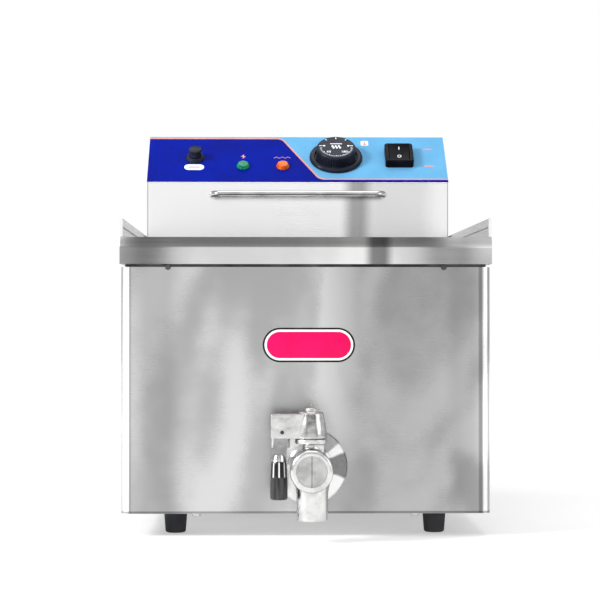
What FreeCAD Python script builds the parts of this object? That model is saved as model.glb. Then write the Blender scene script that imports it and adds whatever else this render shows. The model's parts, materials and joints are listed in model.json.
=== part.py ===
import FreeCAD, Part
import math
import os

V = FreeCAD.Vector

# ---------------------------------------------------------------- driving dimensions, mm
# x runs to the right, y from the front to the back, z up. Depths are measured back from
# the outer face of the front panel, and lie() turns one into a y.

CABINET_WIDTH = 300.0
CABINET_DEPTH = 440.0
SHEET = 1.0                    # stainless sheet of every folded panel
CORNER_R = 7.0                 # outside bend radius of the cabinet's upright corners
RETURN_DEPTH = 22.0            # how far the front and rear panels wrap round the sides
GAP = 0.3                      # between pieces that move past each other

FOOT_H = 18.5
FOOT_TOP_R = 9.75
FOOT_BOTTOM_R = 8.35
FOOT_X = 107.0
FOOT_DEPTHS = (35.0, 405.0)

PANEL_TOP = 218.4
DECK_Z = 222.0                 # top face of the tray's deck
APRON_TOP = 242.7
TRAY_HALF = 151.0              # outer half width of the splash tray
GUARD_TOP = 258.3
GUARD_HEM = 2.2                # thickness of the rolled edge of the side guards

TANK_HALF = 120.0
TANK_FRONT = 24.0              # inner face, depth
TANK_BACK = 344.0
TANK_FLOOR = 42.5
TANK_CORNER_R = 22.0

HEAD_HALF = 147.2
HEAD_FRONT = 322.0             # depth of the control head's front face
HEAD_BACK = 432.0
HEAD_BOTTOM = DECK_Z + GAP
HEAD_KNEE_Z = 309.9            # lower edge of the sloped face
HEAD_TOP = 360.0
HEAD_CREST = 383.0             # depth of the sloped face's upper edge
LABEL_T = 0.5
LABEL_OVERHANG = 0.4           # how far the label passes the head's sides

TAP_X = 3.0
TAP_Z = 57.0
TAP_REACH = 63.0               # front face of the tap ahead of the front panel
TAP_STEM_DEPTH = -44.0         # stem, ball and spout axis
BARREL_R = 15.0
RING_R = 16.75
BALL_R = 11.5
CHAMBER_R = 11.8
BORE_R = 7.5
SPOUT_R = 12.2
SPOUT_BORE_R = 8.5
SPOUT_END = 17.2
SPOUT_SHOULDER = 41.0          # where the spout's bore steps down
STEM_R = 4.95
BONNET_TOP = 81.8
HUB_TOP = 103.0
PIN_X = -23.0                  # lever pin, from the stem
PIN_Z = 87.2
PIN_R = 1.5
GRIP_X = -25.5
GRIP_TOP = 64.0
GRIP_BOTTOM = 33.8
GRIP_R = 6.8

RAIL_D = 6.0
RAIL_SPAN = 172.7
RAIL_Z = 297.6
RAIL_STANDOFF = 18.0
RAIL_BEND_R = 9.0

GLAND_Z = 300.0
GLAND_X = -105.0
GLAND_END = 454.0              # depth of the cable gland's mouth
CABLE_R = 4.5

# the body's box is centred on y = 0
FRONT_Y = -(GLAND_END - TAP_REACH) / 2.0

# places on the sloped face: x, and distance up the slope from its lower edge
DIAL_AT = (38.5, 40.9)
SWITCH_AT = (101.1, 40.9)
RESET_AT = (-101.2, 40.9)
GREEN_AT = (-53.6, 26.6)
ORANGE_AT = (-14.5, 26.6)
BEZEL_R = 26.35
BEZEL_H = 4.2
KNOB_R = 19.65
KNOB_TOP = 14.0
DIAL_SHAFT_R = 3.0
SWITCH_W = 28.0
SWITCH_L = 32.0
SWITCH_H = 8.5
ROCKER_W = 20.3
ROCKER_L = 25.0
ROCKER_TILT = 10.0             # degrees each side of level
RESET_CAP_R = 6.2
RESET_TOP = 11.6

slope_run = HEAD_CREST - HEAD_FRONT
slope_rise = HEAD_TOP - HEAD_KNEE_Z
SLOPE_LENGTH = math.hypot(slope_run, slope_rise)
SLOPE_ANGLE = math.degrees(math.atan2(slope_rise, slope_run))
HALF = CABINET_WIDTH / 2.0
STEM_Y = FRONT_Y + TAP_STEM_DEPTH
STEM_X = TAP_X

X, Y, Z = V(1, 0, 0), V(0, 1, 0), V(0, 0, 1)


# ---------------------------------------------------------------- helpers

def lie(depth):
    """The y of a depth behind the front panel's face."""
    return FRONT_Y + depth


def block(x0, x1, d0, d1, z0, z1):
    """A box between two x, two depths and two heights."""
    return Part.makeBox(x1 - x0, d1 - d0, z1 - z0, V(x0, lie(d0), z0))


def rod(radius, start, end):
    """A cylinder from one point to another."""
    along = end.sub(start)
    return Part.makeCylinder(radius, along.Length, start, along)


def tap_point(depth):
    """A point on the tap's level axis."""
    return V(TAP_X, lie(depth), TAP_Z)


def stem_point(z, x=0.0, y=0.0):
    """A point measured from the tap's upright stem axis."""
    return V(STEM_X + x, STEM_Y + y, z)


def taper(r_start, r_end, start, end):
    along = end.sub(start)
    return Part.makeCone(r_start, r_end, along.Length, start, along)


def turned(profile, base, axis=Z):
    """A solid of revolution. The profile is a closed run of (radius, height) points."""
    points = [V(r, 0, h) for r, h in profile]
    face = Part.Face(Part.makePolygon(points + points[:1]))
    solid = face.revolve(V(0, 0, 0), Z, 360)
    solid.Placement = FreeCAD.Placement(base, FreeCAD.Rotation(Z, axis))
    return solid


def ring(outer, inner, start, end):
    return rod(outer, start, end).cut(rod(inner, start, end))


def join(shapes):
    shapes = list(shapes)
    if len(shapes) == 1:
        return shapes[0]
    return shapes[0].multiFuse(shapes[1:]).removeSplitter()


def carve(shape, cutters):
    for cutter in cutters:
        shape = shape.cut(cutter)
    return shape


def group(shapes):
    return Part.makeCompound(list(shapes))


def rounded_block(x0, x1, d0, d1, z0, z1, radius):
    """A box with its four upright edges rounded."""
    solid = block(x0, x1, d0, d1, z0, z1)
    upright = [e for e in solid.Edges if abs(e.tangentAt(e.FirstParameter).z) > 0.99]
    return solid.makeFillet(radius, upright)


def hexagon(across, start, end):
    """A hexagonal prism along the line from start to end."""
    along = end.sub(start)
    radius = across / math.sqrt(3.0)
    corners = [V(radius * math.cos(math.radians(60 * k)), radius * math.sin(math.radians(60 * k)), 0)
               for k in range(6)]
    face = Part.Face(Part.makePolygon(corners + corners[:1]))
    prism = face.extrude(V(0, 0, along.Length))
    prism.Placement = FreeCAD.Placement(start, FreeCAD.Rotation(Z, along))
    return prism


def on_slope(place, lift=0.0):
    """A point on the sloped face, lifted off it along its normal."""
    x, up = place
    angle = math.radians(SLOPE_ANGLE)
    depth = HEAD_FRONT + up * math.cos(angle) - lift * math.sin(angle)
    height = HEAD_KNEE_Z + up * math.sin(angle) + lift * math.cos(angle)
    return V(x, lie(depth), height)


def to_slope(shape, place):
    """Moves a shape modelled flat at the origin onto the sloped face."""
    moved = shape.copy()
    seat = FreeCAD.Placement(on_slope(place), FreeCAD.Rotation(X, SLOPE_ANGLE))
    moved.Placement = seat.multiply(shape.Placement)
    return moved


def slope_hole(place, radius):
    """A cutter through the sloped sheet."""
    return rod(radius, on_slope(place, -6), on_slope(place, 6))


def save(name, shape):
    shape.exportStep("parts/" + name + ".step")
    box = shape.BoundBox
    print("%-22s %7.1f %7.1f %7.1f  %d solid(s) %s" % (
        name, box.XLength, box.YLength, box.ZLength, len(shape.Solids),
        "" if shape.isValid() else "NOT VALID"))


# ---------------------------------------------------------------- cabinet

PANEL_BOTTOM = FOOT_H + SHEET
FLANGE = 12.0                  # width of the flanges folded in at the top of each panel
BASE_FLANGE_H = 14.0
PANEL_SCREW_X = 112.0


def cabinet_tube():
    """The four walls as one closed tube, which the panels are cut from."""
    outer = rounded_block(-HALF, HALF, 0, CABINET_DEPTH, PANEL_BOTTOM, PANEL_TOP, CORNER_R)
    inner = rounded_block(-HALF + SHEET, HALF - SHEET, SHEET, CABINET_DEPTH - SHEET,
                          PANEL_BOTTOM - 1, PANEL_TOP + 1, CORNER_R - SHEET)
    return outer.cut(inner)


def end_panel(tube, d0, d1, flange_d0, flange_d1):
    """The front or rear panel, with its returns and its top flange."""
    wall = tube.common(block(-HALF - 1, HALF + 1, d0, d1, 0, PANEL_TOP + 1))
    flange = block(-HALF + FLANGE + CORNER_R, HALF - FLANGE - CORNER_R, flange_d0, flange_d1,
                   PANEL_TOP - SHEET, PANEL_TOP)
    return join([wall, flange])


def front_panel(tube):
    panel = end_panel(tube, -1, RETURN_DEPTH, 0.5, FLANGE)
    drain = rod(11.0, tap_point(-1), tap_point(SHEET + 1))
    notches = [rod(1.3, V(side * PANEL_SCREW_X, lie(-1), PANEL_TOP), V(side * PANEL_SCREW_X, lie(3), PANEL_TOP))
               for side in (-1, 1)]
    return carve(panel, [drain] + notches)


def rear_panel(tube):
    panel = end_panel(tube, CABINET_DEPTH - RETURN_DEPTH, CABINET_DEPTH + 1,
                      CABINET_DEPTH - FLANGE, CABINET_DEPTH - 0.5)
    slots = []
    for row in range(3):
        for column in range(-4, 5):
            middle = 26.0 * column
            low = 150.0 + 16.0 * row
            slots.append(block(middle - 9, middle + 9, CABINET_DEPTH - 2, CABINET_DEPTH + 2, low, low + 4.5))
    return carve(panel, slots)


def side_panel(side):
    """side is -1 for the left and 1 for the right."""
    seam = 0.4
    edges = sorted([side * HALF, side * (HALF - SHEET)])
    wall = block(edges[0], edges[1], RETURN_DEPTH + seam, CABINET_DEPTH - RETURN_DEPTH - seam,
                 PANEL_BOTTOM, PANEL_TOP)
    edges = sorted([side * HALF, side * (HALF - FLANGE)])
    flange = block(edges[0], edges[1], RETURN_DEPTH + seam, CABINET_DEPTH - RETURN_DEPTH - seam,
                   PANEL_TOP - SHEET, PANEL_TOP)
    return join([wall, flange])


def base_plate():
    plate = rounded_block(-HALF, HALF, 0, CABINET_DEPTH, FOOT_H, FOOT_H + SHEET, CORNER_R)
    inset = SHEET + 0.1
    top = FOOT_H + BASE_FLANGE_H
    rim = rounded_block(-HALF + inset, HALF - inset, inset, CABINET_DEPTH - inset, FOOT_H, top,
                        CORNER_R - inset)
    inset = inset + SHEET
    rim = rim.cut(rounded_block(-HALF + inset, HALF - inset, inset, CABINET_DEPTH - inset, FOOT_H - 1, top + 1,
                                CORNER_R - inset))
    slots = [block(20.0 * k - 4, 20.0 * k + 4, d, d + 40, FOOT_H - 1, FOOT_H + SHEET + 1)
             for k in range(-3, 4) for d in (150.0, 250.0)]
    holes = [rod(2.6, V(x, lie(d), FOOT_H - 1), V(x, lie(d), FOOT_H + SHEET + 1))
             for x, d in foot_places() + base_screw_places()]
    return carve(join([plate, rim]), slots + holes)


def foot_places():
    return [(side * FOOT_X, depth) for depth in FOOT_DEPTHS for side in (-1, 1)]


def base_screw_places():
    return [(side * 89.0, depth) for depth in (9.0, 431.0) for side in (-1, 1)]


def foot(x, depth):
    base = V(x, lie(depth), 0)
    top = V(x, lie(depth), FOOT_H)
    solid = taper(FOOT_BOTTOM_R, FOOT_TOP_R, base, top)
    sole = [e for e in solid.Edges if e.BoundBox.ZMax < 0.01]
    solid = solid.makeFillet(2.0, sole)
    recess = rod(5.2, V(x, lie(depth), -1), V(x, lie(depth), 9))
    hole = rod(2.7, base, V(x, lie(depth), FOOT_H + 1))
    return carve(solid, [recess, hole])


def screw_up(x, depth, head_r, head_bottom, head_top, shank_top, shank_r=2.5):
    """A pan head screw driven upwards, with a cross recess in its head."""
    at = lambda z: V(x, lie(depth), z)
    head = rod(head_r, at(head_bottom), at(head_top))
    rim = [e for e in head.Edges if e.BoundBox.ZMax < head_bottom + 0.01]
    head = head.makeFillet(0.8, rim)
    shank = rod(shank_r, at(head_top), at(shank_top))
    cross = [block(x - 2.2, x + 2.2, depth - 0.4, depth + 0.4, head_bottom - 1, head_bottom + 1.2),
             block(x - 0.4, x + 0.4, depth - 2.2, depth + 2.2, head_bottom - 1, head_bottom + 1.2)]
    return carve(join([head, shank]), cross)


def foot_screws():
    return group(screw_up(x, d, 4.6, 6.0, 9.0, FOOT_H + 8) for x, d in foot_places())


def nut_on(x, depth, low, across, height, bore):
    start = V(x, lie(depth), low)
    end = V(x, lie(depth), low + height)
    return hexagon(across, start, end).cut(rod(bore, start, end))


def foot_nuts():
    return group(nut_on(x, d, FOOT_H + SHEET, 8.0, 4.0, 2.55) for x, d in foot_places())


def base_screws():
    return group(screw_up(x, d, 3.5, FOOT_H - 2.5, FOOT_H, FOOT_H + 6) for x, d in base_screw_places())


# ---------------------------------------------------------------- splash tray and tank

APRON_FACE = -2.6              # depth of the apron's front face
APRON_LEAN = 1.6               # how far its upper edge leans back
APRON_KNEE_Z = 234.5


def tray_seal():
    outer = rounded_block(-147, 147, 3, 437, PANEL_TOP, DECK_Z - SHEET, 5.0)
    inner = rounded_block(-134, 134, 13, 427, PANEL_TOP - 1, DECK_Z, 5.0)
    return outer.cut(inner)


def tray_deck():
    deck = block(-HALF, HALF, APRON_FACE + SHEET, CABINET_DEPTH - SHEET, DECK_Z - SHEET, DECK_Z)
    mouth = rounded_block(-TANK_HALF, TANK_HALF, TANK_FRONT, TANK_BACK, DECK_Z - 3, DECK_Z + 3, TANK_CORNER_R)
    return deck.cut(mouth)


def front_apron():
    """A folded strip: upright below, leaning back slightly above, with a hem behind its upper edge."""
    bottom = DECK_Z - 1.3
    lean = APRON_FACE + APRON_LEAN
    outline = [(APRON_FACE, bottom), (APRON_FACE, APRON_KNEE_Z), (lean, APRON_TOP),
               (lean + SHEET, APRON_TOP), (APRON_FACE + SHEET, APRON_KNEE_Z), (APRON_FACE + SHEET, bottom)]
    points = [V(-TRAY_HALF, lie(d), z) for d, z in outline]
    face = Part.Face(Part.makePolygon(points + points[:1]))
    strip = face.extrude(V(2 * TRAY_HALF, 0, 0))
    corners = [e for e in strip.Edges
               if abs(abs(e.CenterOfMass.x) - TRAY_HALF) < 0.01 and e.CenterOfMass.y < lie(APRON_FACE + 0.9)
               and e.Length > 5]
    return strip.makeFillet(0.8, corners)


def panel_screws():
    """Two pan heads on the front panel's upper edge, half under the apron."""
    screws = []
    for side in (-1, 1):
        at = lambda d: V(side * PANEL_SCREW_X, lie(d), PANEL_TOP)
        head = rod(2.5, at(-1.5), at(0))
        face = [e for e in head.Edges if e.BoundBox.YMax < lie(-1.5) + 0.01]
        head = head.makeFillet(0.7, face)
        screws.append(join([head, rod(1.25, at(0), at(2.8))]))
    return group(screws)


def guard(side):
    """A side guard: an upright plate whose top and front edges are folded over."""
    plate = sorted([side * TRAY_HALF, side * HALF])
    hem = sorted([side * HALF, side * (TRAY_HALF - GUARD_HEM)])
    low = DECK_Z - 1.3
    sheet = block(plate[0], plate[1], 0, CABINET_DEPTH, low, GUARD_TOP)
    top = block(hem[0], hem[1], 0, CABINET_DEPTH, GUARD_TOP - 7, GUARD_TOP)
    front = block(hem[0], hem[1], 0, 7, APRON_TOP + 0.5, GUARD_TOP)
    solid = join([sheet, top, front])
    rounded = [e for e in solid.Edges
               if abs(e.CenterOfMass.z - GUARD_TOP) < 0.01 and e.Length > 100]
    return solid.makeFillet(0.9, rounded)


def rear_guard():
    inner = TRAY_HALF - GUARD_HEM
    low = DECK_Z - 1.3
    sheet = block(-HALF, HALF, CABINET_DEPTH - SHEET, CABINET_DEPTH, low, GUARD_TOP - 7)
    upper = block(-inner, inner, CABINET_DEPTH - SHEET, CABINET_DEPTH, GUARD_TOP - 7, GUARD_TOP)
    hem = block(-inner, inner, CABINET_DEPTH - GUARD_HEM, CABINET_DEPTH - SHEET, GUARD_TOP - 7, GUARD_TOP)
    return join([sheet, upper, hem])


def tank_form(grow, top):
    """A round-cornered box as deep as the tank, grown outwards from its inner faces."""
    low = TANK_FLOOR - grow
    form = rounded_block(-TANK_HALF - grow, TANK_HALF + grow, TANK_FRONT - grow, TANK_BACK + grow,
                         low, top, TANK_CORNER_R + grow)
    floor_edges = [e for e in form.Edges if e.BoundBox.ZMax < low + 0.01]
    return form.makeFillet(4.0 + grow, floor_edges)


def tank():
    under_deck = DECK_Z - SHEET
    rim_w = 6.0
    body = tank_form(SHEET, under_deck)
    rim = rounded_block(-TANK_HALF - rim_w, TANK_HALF + rim_w, TANK_FRONT - rim_w, TANK_BACK + rim_w,
                        under_deck - SHEET, under_deck, TANK_CORNER_R + rim_w)
    drain = rod(BORE_R, tap_point(TANK_FRONT - 5), tap_point(TANK_FRONT + 5))
    return carve(join([body, rim]), [tank_form(0.0, under_deck + 5), drain])


def drain_nipple():
    return ring(10.5, BORE_R, tap_point(-12), tap_point(TANK_FRONT - SHEET))


def nipple_nut():
    start, end = tap_point(SHEET), tap_point(SHEET + 6)
    return hexagon(28.0, start, end).cut(rod(10.55, start, end))


BADGE_W = 75.0
BADGE_H = 28.0
BADGE_AT = (2.3, 155.1)


def badge_plate():
    """A raised pill-shaped plate, plain, on the front panel."""
    x, z = BADGE_AT
    radius = BADGE_H / 2.0
    half = BADGE_W / 2.0 - radius
    ends = [rod(radius, V(x + side * half, lie(-0.8), z), V(x + side * half, lie(0), z)) for side in (-1, 1)]
    middle = block(x - half, x + half, -0.8, 0, z - radius, z + radius)
    return join([middle] + ends)


# ---------------------------------------------------------------- drain tap

NECK_TOP = 77.8
SHANK_T = 5.0                  # thickness of the lever shank between the two ears
SHANK_W = 11.3


def tap_gasket():
    return ring(26.0, 10.6, tap_point(-1.0), tap_point(0))


def tap_flange():
    profile = [(10.6, 0), (30.5, 0), (30.5, 1.2), (29.4, 2.3), (18.0, 2.5), (10.6, 2.5)]
    return turned(profile, tap_point(-1.0), -Y)


def tap_body():
    back = -3.5
    barrel = rod(BARREL_R, tap_point(back), tap_point(-50))
    root_flare = taper(18.5, BARREL_R, tap_point(back), tap_point(-9))
    collar = taper(BARREL_R, RING_R, tap_point(-45), tap_point(-49))
    face_ring = rod(RING_R, tap_point(-49), tap_point(-TAP_REACH))
    lip = [e for e in face_ring.Edges if e.BoundBox.YMax < lie(-TAP_REACH) + 0.01]
    face_ring = face_ring.makeFillet(2.2, lip)
    spout = rod(SPOUT_R, stem_point(TAP_Z), stem_point(SPOUT_END + 4))
    mouth = taper(SPOUT_R - 0.4, SPOUT_R, stem_point(SPOUT_END), stem_point(SPOUT_END + 5))
    step = taper(SPOUT_R, SPOUT_R + 1.2, stem_point(38.0), stem_point(43.0))
    step_top = rod(SPOUT_R + 1.2, stem_point(43.0), stem_point(TAP_Z))
    neck = rod(7.0, stem_point(TAP_Z), stem_point(NECK_TOP))
    shoulder = taper(11.5, 7.0, stem_point(67.0), stem_point(73.5))
    lug = Part.makeBox(5.0, 7.0, NECK_TOP - 66.0, stem_point(66.0, 5.0, -5.5))
    solid = join([barrel, root_flare, collar, face_ring, spout, mouth, step, step_top, neck, shoulder, lug])
    socket = rod(10.5, tap_point(0), tap_point(-12))
    inlet = rod(BORE_R, tap_point(-10), tap_point(-40))
    chamber = rod(CHAMBER_R, tap_point(TAP_STEM_DEPTH + CHAMBER_R), tap_point(-TAP_REACH - 1))
    thread = rod(12.2, tap_point(-55.7), tap_point(-TAP_REACH - 1))
    spout_bore = rod(SPOUT_BORE_R, stem_point(SPOUT_END - 1), stem_point(SPOUT_SHOULDER))
    passage = rod(BORE_R, stem_point(SPOUT_SHOULDER - 1), stem_point(TAP_Z))
    seat_pocket = rod(9.0, stem_point(44.5), stem_point(TAP_Z))
    stem_hole = rod(STEM_R + 0.05, stem_point(TAP_Z), stem_point(NECK_TOP + 1))
    return carve(solid, [socket, inlet, chamber, thread, spout_bore, passage, seat_pocket, stem_hole])


def tap_plug():
    """The screwed plug that closes the tap's front, with a driver slot across it."""
    disc = rod(12.1, tap_point(-55.8), tap_point(-TAP_REACH + 0.6))
    slot = block(TAP_X - 0.6, TAP_X + 0.6, -TAP_REACH, -TAP_REACH + 2.4, TAP_Z - 13, TAP_Z + 13)
    return disc.cut(slot)


def tap_seats():
    """Two seat rings ahead of and behind the ball, and one round the outlet."""
    clear_of_ball = Part.makeSphere(BALL_R + 0.1, tap_point(TAP_STEM_DEPTH))
    mid = TAP_STEM_DEPTH
    front = ring(CHAMBER_R - 0.05, BORE_R, tap_point(mid - CHAMBER_R + 0.1), tap_point(mid - 6.5))
    back = ring(CHAMBER_R - 0.05, BORE_R, tap_point(mid + 6.5), tap_point(mid + CHAMBER_R - 0.1))
    below = ring(8.95, BORE_R, stem_point(44.5), stem_point(49.0))
    return group(seat.cut(clear_of_ball) for seat in (front, back, below))


def tap_bonnet():
    start, end = stem_point(NECK_TOP), stem_point(BONNET_TOP)
    disc = rod(13.0, start, end)
    disc = disc.makeFillet(1.0, [e for e in disc.Edges if e.Length > 60])
    return disc.cut(rod(STEM_R + 0.05, start, end))


def tap_ball():
    """The ball: its lower port always meets the spout, its side port turns towards the inlet."""
    centre = stem_point(TAP_Z)
    ball = Part.makeSphere(BALL_R, centre)
    down = rod(BORE_R, centre, stem_point(TAP_Z - 20))
    side = rod(BORE_R, centre, stem_point(TAP_Z, 20))
    bend = Part.makeSphere(BORE_R, centre)
    slot = Part.makeBox(8.2, 3.1, 6.0, stem_point(TAP_Z + 8.4, -4.1, -1.55))
    return carve(ball, [down, side, bend, slot])


def tap_stem():
    tongue = Part.makeBox(8.0, 3.0, 4.5, stem_point(TAP_Z + 8.6, -4.0, -1.5))
    shaft = rod(STEM_R, stem_point(TAP_Z + 12.0), stem_point(98.0))
    tip_hole = rod(2.0, stem_point(90.0), stem_point(99.0))
    return carve(join([tongue, shaft]), [tip_hole])


CLEVIS_X = (-32.0, -8.0)       # from the stem
CLEVIS_HALF = 8.5
CLEVIS_TOP = 101.3
SLOT_HALF = SHANK_T / 2.0 + 0.3


def lever_hub():
    """The cast hub with the two ears that hold the lever, and a skirt that meets the stop lug."""
    low = BONNET_TOP + GAP
    cone = taper(11.85, 10.65, stem_point(low), stem_point(HUB_TOP))
    top_edge = [e for e in cone.Edges if e.BoundBox.ZMin > HUB_TOP - 0.01]
    cone = cone.makeFillet(1.2, top_edge)
    length = CLEVIS_X[1] - CLEVIS_X[0]
    arm = Part.makeBox(length, 2 * CLEVIS_HALF, CLEVIS_TOP - low, stem_point(low, CLEVIS_X[0], -CLEVIS_HALF))
    outer = [e for e in arm.Edges if e.CenterOfMass.x < STEM_X + CLEVIS_X[0] + 0.01]
    arm = arm.makeFillet(1.5, outer)
    rear_ear = Part.makeBox(15.0, CLEVIS_HALF - SLOT_HALF, 9.0, stem_point(low - 8.0, CLEVIS_X[0] + 0.4, SLOT_HALF))
    heel = [e for e in rear_ear.Edges if abs(e.tangentAt(e.FirstParameter).y) > 0.99
            and e.CenterOfMass.z < low - 7.9]
    rear_ear = rear_ear.makeFillet(5.0, heel)
    skirt = ring(16.2, 13.4, stem_point(78.6), stem_point(low + 3)).common(
        Part.makeBox(12, 14, 30, stem_point(70.0, 6.0, -12.0)))
    web = ring(16.2, 8.0, stem_point(low), stem_point(low + 4)).common(
        Part.makeBox(12, 14, 30, stem_point(70.0, 6.0, -12.0)))
    solid = join([cone, arm, rear_ear, skirt, web])
    slot = Part.makeBox(19.5, 2 * SLOT_HALF, 40.0, stem_point(60.0, -33.0, -SLOT_HALF))
    roof = Part.makeBox(19.5, 2 * SLOT_HALF, 6.0, stem_point(PIN_Z + 7.4, -33.0, -SLOT_HALF))
    bore = rod(STEM_R + 0.02, stem_point(low - 1), stem_point(98.0))
    screw_hole = rod(2.55, stem_point(97.0), stem_point(HUB_TOP + 1))
    pin_hole = rod(PIN_R + 0.01, stem_point(PIN_Z, PIN_X, -12), stem_point(PIN_Z, PIN_X, 12))
    return carve(solid, [slot.cut(roof), bore, screw_hole, pin_hole])


def hub_screw():
    head = rod(5.0, stem_point(HUB_TOP), stem_point(HUB_TOP + 3.0))
    crown = [e for e in head.Edges if e.BoundBox.ZMin > HUB_TOP + 2.9]
    head = head.makeFillet(1.4, crown)
    shank = rod(1.95, stem_point(91.0), stem_point(HUB_TOP))
    slot = Part.makeBox(14, 1.2, 2.0, stem_point(HUB_TOP + 1.8, -7, -0.6))
    return join([head, shank]).cut(slot)


def lever_pin():
    return rod(PIN_R, stem_point(PIN_Z, PIN_X, -CLEVIS_HALF - 0.6), stem_point(PIN_Z, PIN_X, CLEVIS_HALF + 0.6))


def handle_shank():
    """A flat bar with an eye round the pin, a round shoulder and a tang inside the grip."""
    half_t = SHANK_T / 2.0
    eye = rod(SHANK_W / 2.0, stem_point(PIN_Z, PIN_X, -half_t), stem_point(PIN_Z, PIN_X, half_t))
    outline = [stem_point(PIN_Z, PIN_X - SHANK_W / 2.0, -half_t), stem_point(PIN_Z, PIN_X + SHANK_W / 2.0, -half_t),
               stem_point(69.0, GRIP_X + SHANK_W / 2.0, -half_t), stem_point(69.0, GRIP_X - SHANK_W / 2.0, -half_t)]
    bar = Part.Face(Part.makePolygon(outline + outline[:1])).extrude(V(0, SHANK_T, 0))
    tang = rod(2.4, stem_point(40.0, GRIP_X), stem_point(69.0, GRIP_X))
    hole = rod(PIN_R + 0.05, stem_point(PIN_Z, PIN_X, -12), stem_point(PIN_Z, PIN_X, 12))
    return join([eye, bar, tang]).cut(hole)


def handle_ferrule():
    cone = taper(6.2, 4.6, stem_point(GRIP_TOP, GRIP_X), stem_point(69.0, GRIP_X))
    return cone.cut(rod(2.45, stem_point(GRIP_TOP - 1, GRIP_X), stem_point(70.0, GRIP_X)))


def handle_grip():
    length = GRIP_TOP - GRIP_BOTTOM
    profile = [(0, 0), (GRIP_R - 1.2, 0), (GRIP_R, 1.2), (GRIP_R, length - 11.0), (5.7, length), (0, length)]
    body = turned(profile, stem_point(GRIP_BOTTOM, GRIP_X))
    flutes = []
    for k in range(8):
        angle = math.radians(45.0 * k + 22.5)
        foot_at = stem_point(GRIP_TOP - 10.0, GRIP_X + 7.5 * math.cos(angle), 7.5 * math.sin(angle))
        head_at = stem_point(GRIP_TOP + 1.0, GRIP_X + 6.3 * math.cos(angle), 6.3 * math.sin(angle))
        flutes.append(rod(1.1, foot_at, head_at))
    socket = rod(2.45, stem_point(39.9, GRIP_X), stem_point(GRIP_TOP + 1, GRIP_X))
    return carve(body, flutes + [socket])


# ---------------------------------------------------------------- control head

BEND_R = 1.5                   # outside radius of the cover's folds
ELEMENT_R = 4.0
ELEMENT_Z = 70.0
ELEMENT_X = (34.0, 78.0)
LEG_DEPTH = 334.0
RAIL_HALF = (RAIL_SPAN - RAIL_D) / 2.0
SCREW_XZ = [(x, z) for x in (-130.0, 130.0) for z in (240.0, 340.0)]


def head_outline(inset):
    """Depths and heights of the head's side outline, moved inwards by inset; open at the bottom."""
    angle = math.radians(SLOPE_ANGLE)
    start_d = HEAD_FRONT + inset * math.sin(angle)
    start_z = HEAD_KNEE_Z - inset * math.cos(angle)
    to_knee = (HEAD_FRONT + inset - start_d) / math.cos(angle)
    to_crest = (HEAD_TOP - inset - start_z) / math.sin(angle)
    knee = (HEAD_FRONT + inset, start_z + to_knee * math.sin(angle))
    crest = (start_d + to_crest * math.cos(angle), HEAD_TOP - inset)
    low = HEAD_BOTTOM - inset
    return [(HEAD_FRONT + inset, low), knee, crest, (HEAD_BACK - inset, HEAD_TOP - inset),
            (HEAD_BACK - inset, low)]


def head_prism(inset, half):
    points = [V(-half, lie(d), z) for d, z in head_outline(inset)]
    return Part.Face(Part.makePolygon(points + points[:1])).extrude(V(2 * half, 0, 0))


def head_form():
    """The whole head as one solid with its three folds rounded."""
    form = head_prism(0.0, HEAD_HALF)
    folds = [e for e in form.Edges if abs(e.tangentAt(e.FirstParameter).x) > 0.99
             and e.CenterOfMass.z > HEAD_BOTTOM + 1]
    return form.makeFillet(BEND_R, folds)


def slope_cutters():
    """What is cut through both the sloped sheet and its label."""
    window = Part.makeBox(22.4, 28.4, 12, V(-11.2, -14.2, -6))
    return [slope_hole(DIAL_AT, 3.6), slope_hole(RESET_AT, 1.8), slope_hole(GREEN_AT, 5.2),
            slope_hole(ORANGE_AT, 5.2), to_slope(window, SWITCH_AT)]


def head_cover(form):
    inner = HEAD_HALF - SHEET
    sheet = form.common(block(-inner, inner, 300, 450, 200, 400))
    sheet = sheet.cut(head_prism(SHEET, HEAD_HALF))
    rail_holes = [rod(RAIL_D / 2.0 + 0.05, V(side * RAIL_HALF, lie(HEAD_FRONT - 2), RAIL_Z),
                      V(side * RAIL_HALF, lie(HEAD_FRONT + 3), RAIL_Z)) for side in (-1, 1)]
    gland_hole = rod(8.1, V(GLAND_X, lie(HEAD_BACK - 3), GLAND_Z), V(GLAND_X, lie(HEAD_BACK + 3), GLAND_Z))
    screw_holes = [rod(1.6, V(x, lie(HEAD_BACK - 3), z), V(x, lie(HEAD_BACK + 3), z)) for x, z in SCREW_XZ]
    vents = [block(10.0 * k - 2.2, 10.0 * k + 2.2, HEAD_BACK - 2, HEAD_BACK + 2, 272, 312) for k in range(-4, 5)]
    return carve(sheet, slope_cutters() + rail_holes + [gland_hole] + screw_holes + vents)


def head_side(form, side):
    edges = sorted([side * HEAD_HALF, side * (HEAD_HALF - SHEET)])
    return form.common(block(edges[0], edges[1], 300, 450, 200, 400))


def leg_places():
    return [(side * x, LEG_DEPTH) for side in (-1, 1) for x in ELEMENT_X]


def head_base():
    half = HEAD_HALF - SHEET
    plate = block(-half, half, HEAD_FRONT + SHEET, HEAD_BACK - SHEET, HEAD_BOTTOM, HEAD_BOTTOM + SHEET)
    holes = [rod(ELEMENT_R + 0.05, V(x, lie(d), 200), V(x, lie(d), 240)) for x, d in leg_places()]
    holes.append(rod(3.1, V(0, lie(LEG_DEPTH), 200), V(0, lie(LEG_DEPTH), 240)))
    return carve(plate, holes)


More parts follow.
